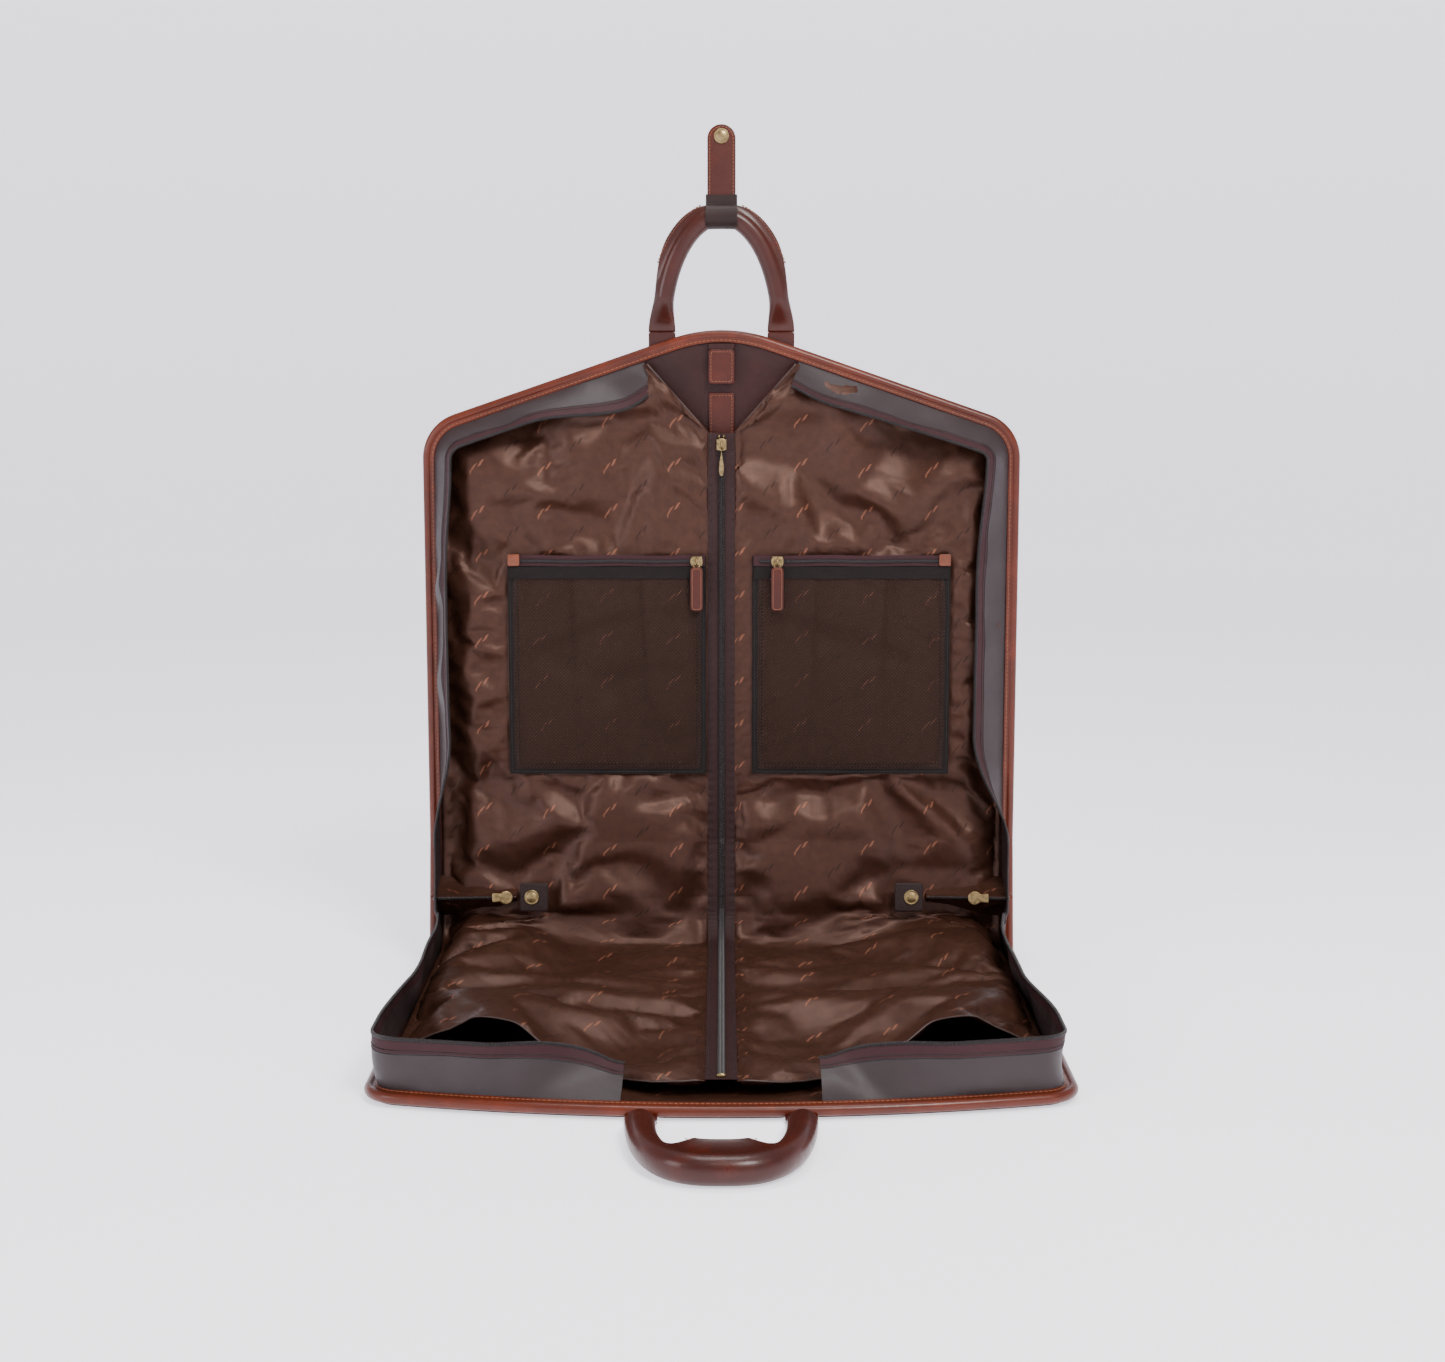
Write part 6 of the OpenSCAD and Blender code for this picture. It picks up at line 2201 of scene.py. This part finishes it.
@dataclass
class Studio:
    """A pale floor that curves up far away, soft lights and the camera."""

    eye: tuple[float, float, float] = (0.001, -1.981, 0.608)
    pitch: float = 81.547
    lens: float = 57.37

    def floor(self) -> None:
        """A round floor whose rim turns up on a quarter circle."""
        flat = np.linspace(0.02, 4.5, 12)
        angle = np.radians(np.linspace(8, 90, 12))
        radius = np.concatenate([flat, 4.5 + 2.0 * np.sin(angle)])
        height = np.concatenate([0 * flat, 2.0 * (1 - np.cos(angle))])
        turn = np.linspace(0, 2 * math.pi, 96, endpoint=False)
        ring = np.stack([np.cos(turn), np.sin(turn)], axis=1)
        rings = np.concatenate([radius[:, None, None] * ring[None],
                                np.broadcast_to(height[:, None, None], (len(radius), len(turn), 1))], axis=2)
        rings[..., 2] -= 0.2 * MM
        points, sides, ends = tube_mesh(rings)
        mesh = bpy.data.meshes.new("floor")
        mesh.from_pydata(points[:-1].tolist(), [], sides.tolist() + ends[: len(turn)].tolist())
        mesh.polygons.foreach_set("use_smooth", np.ones(len(mesh.polygons), bool))
        floor = bpy.data.objects.new("floor", mesh)
        bpy.context.scene.collection.objects.link(floor)
        material = bpy.data.materials.new("floor_paper")
        material.use_nodes = True
        surface = material.node_tree.nodes["Principled BSDF"]
        surface.inputs["Base Color"].default_value = rgba((0.90, 0.885, 0.93))
        surface.inputs["Roughness"].default_value = 0.7
        surface.inputs["Emission Color"].default_value = rgba((0.95, 0.935, 1.0))
        surface.inputs["Emission Strength"].default_value = 1.0
        mesh.materials.append(material)

    def light(self, name: str, place: Sequence[float], aim: Sequence[float], size: float, watts: float,
              colour: Colour = (1.0, 1.0, 1.0)) -> None:
        """A square area light at place that points at aim."""
        data = bpy.data.lights.new(name, "AREA")
        data.size, data.energy, data.color = size, watts, colour
        lamp = bpy.data.objects.new(name, data)
        lamp.location = place
        lamp.rotation_euler = (Vector(aim) - Vector(place)).to_track_quat("-Z", "Y").to_euler()
        bpy.context.scene.collection.objects.link(lamp)

    def build(self) -> None:
        """Sets the world, the lights and the camera."""
        self.floor()
        world = bpy.data.worlds.new("studio")
        world.use_nodes = True
        world.node_tree.nodes["Background"].inputs[0].default_value = rgba((0.93, 0.92, 1.0))
        world.node_tree.nodes["Background"].inputs[1].default_value = 0.55
        bpy.context.scene.world = world
        self.light("key", (0.9, -1.6, 2.3), (0.0, 0.0, 0.25), 0.8, 75.0, (1.0, 0.98, 0.95))
        self.light("fill", (-2.0, -1.3, 1.2), (0.0, 0.1, 0.3), 1.0, 26.0, (0.95, 0.96, 1.0))
        self.light("top", (0.0, 0.1, 2.4), (0.0, 0.1, 0.0), 1.0, 30.0)
        data = bpy.data.cameras.new("camera")
        data.sensor_width, data.lens = 36.0, self.lens
        camera = bpy.data.objects.new("camera", data)
        camera.location = self.eye
        camera.rotation_euler = (math.radians(self.pitch), 0.0, 0.0)
        bpy.context.scene.collection.objects.link(camera)
        bpy.context.scene.camera = camera


def main() -> None:
    """Builds the bag, sub-assembly by sub-assembly, then the studio."""
    logging.basicConfig(level=logging.INFO, format="%(message)s")
    Studio().build()
    Panels().build()
    Piping().build()
    for half in Half:
        for side in Side:
            SideWall(half, side).build()
    for side in Side:
        Tuck(side).build()
    Curtain().build()
    CentreZip().build()
    zip_stops()
    centre_slider_and_pull()
    Neck().build()
    Pocket(Side.LEFT, 15 * MM, 24 * MM).build()
    Pocket(Side.RIGHT, 30 * MM, 54 * MM).build()
    SnapTab(Side.LEFT, 212 * MM).build()
    SnapTab(Side.RIGHT, 248 * MM).build()
    dress(frame["nodes"]["snap_studs"], BRASS)
    Handle(Half.UPPER, 57.4 * MM, 498 * MM, 110 * MM, 9.5 * MM, 1.0, -1, 6.5 * MM).build()
    Handle(Half.LOWER, 63 * MM, 495 * MM, 131 * MM, 12 * MM, 0.72, 1, 13 * MM).build()
    Keeper().build()


if __name__ == "__main__":
    main()
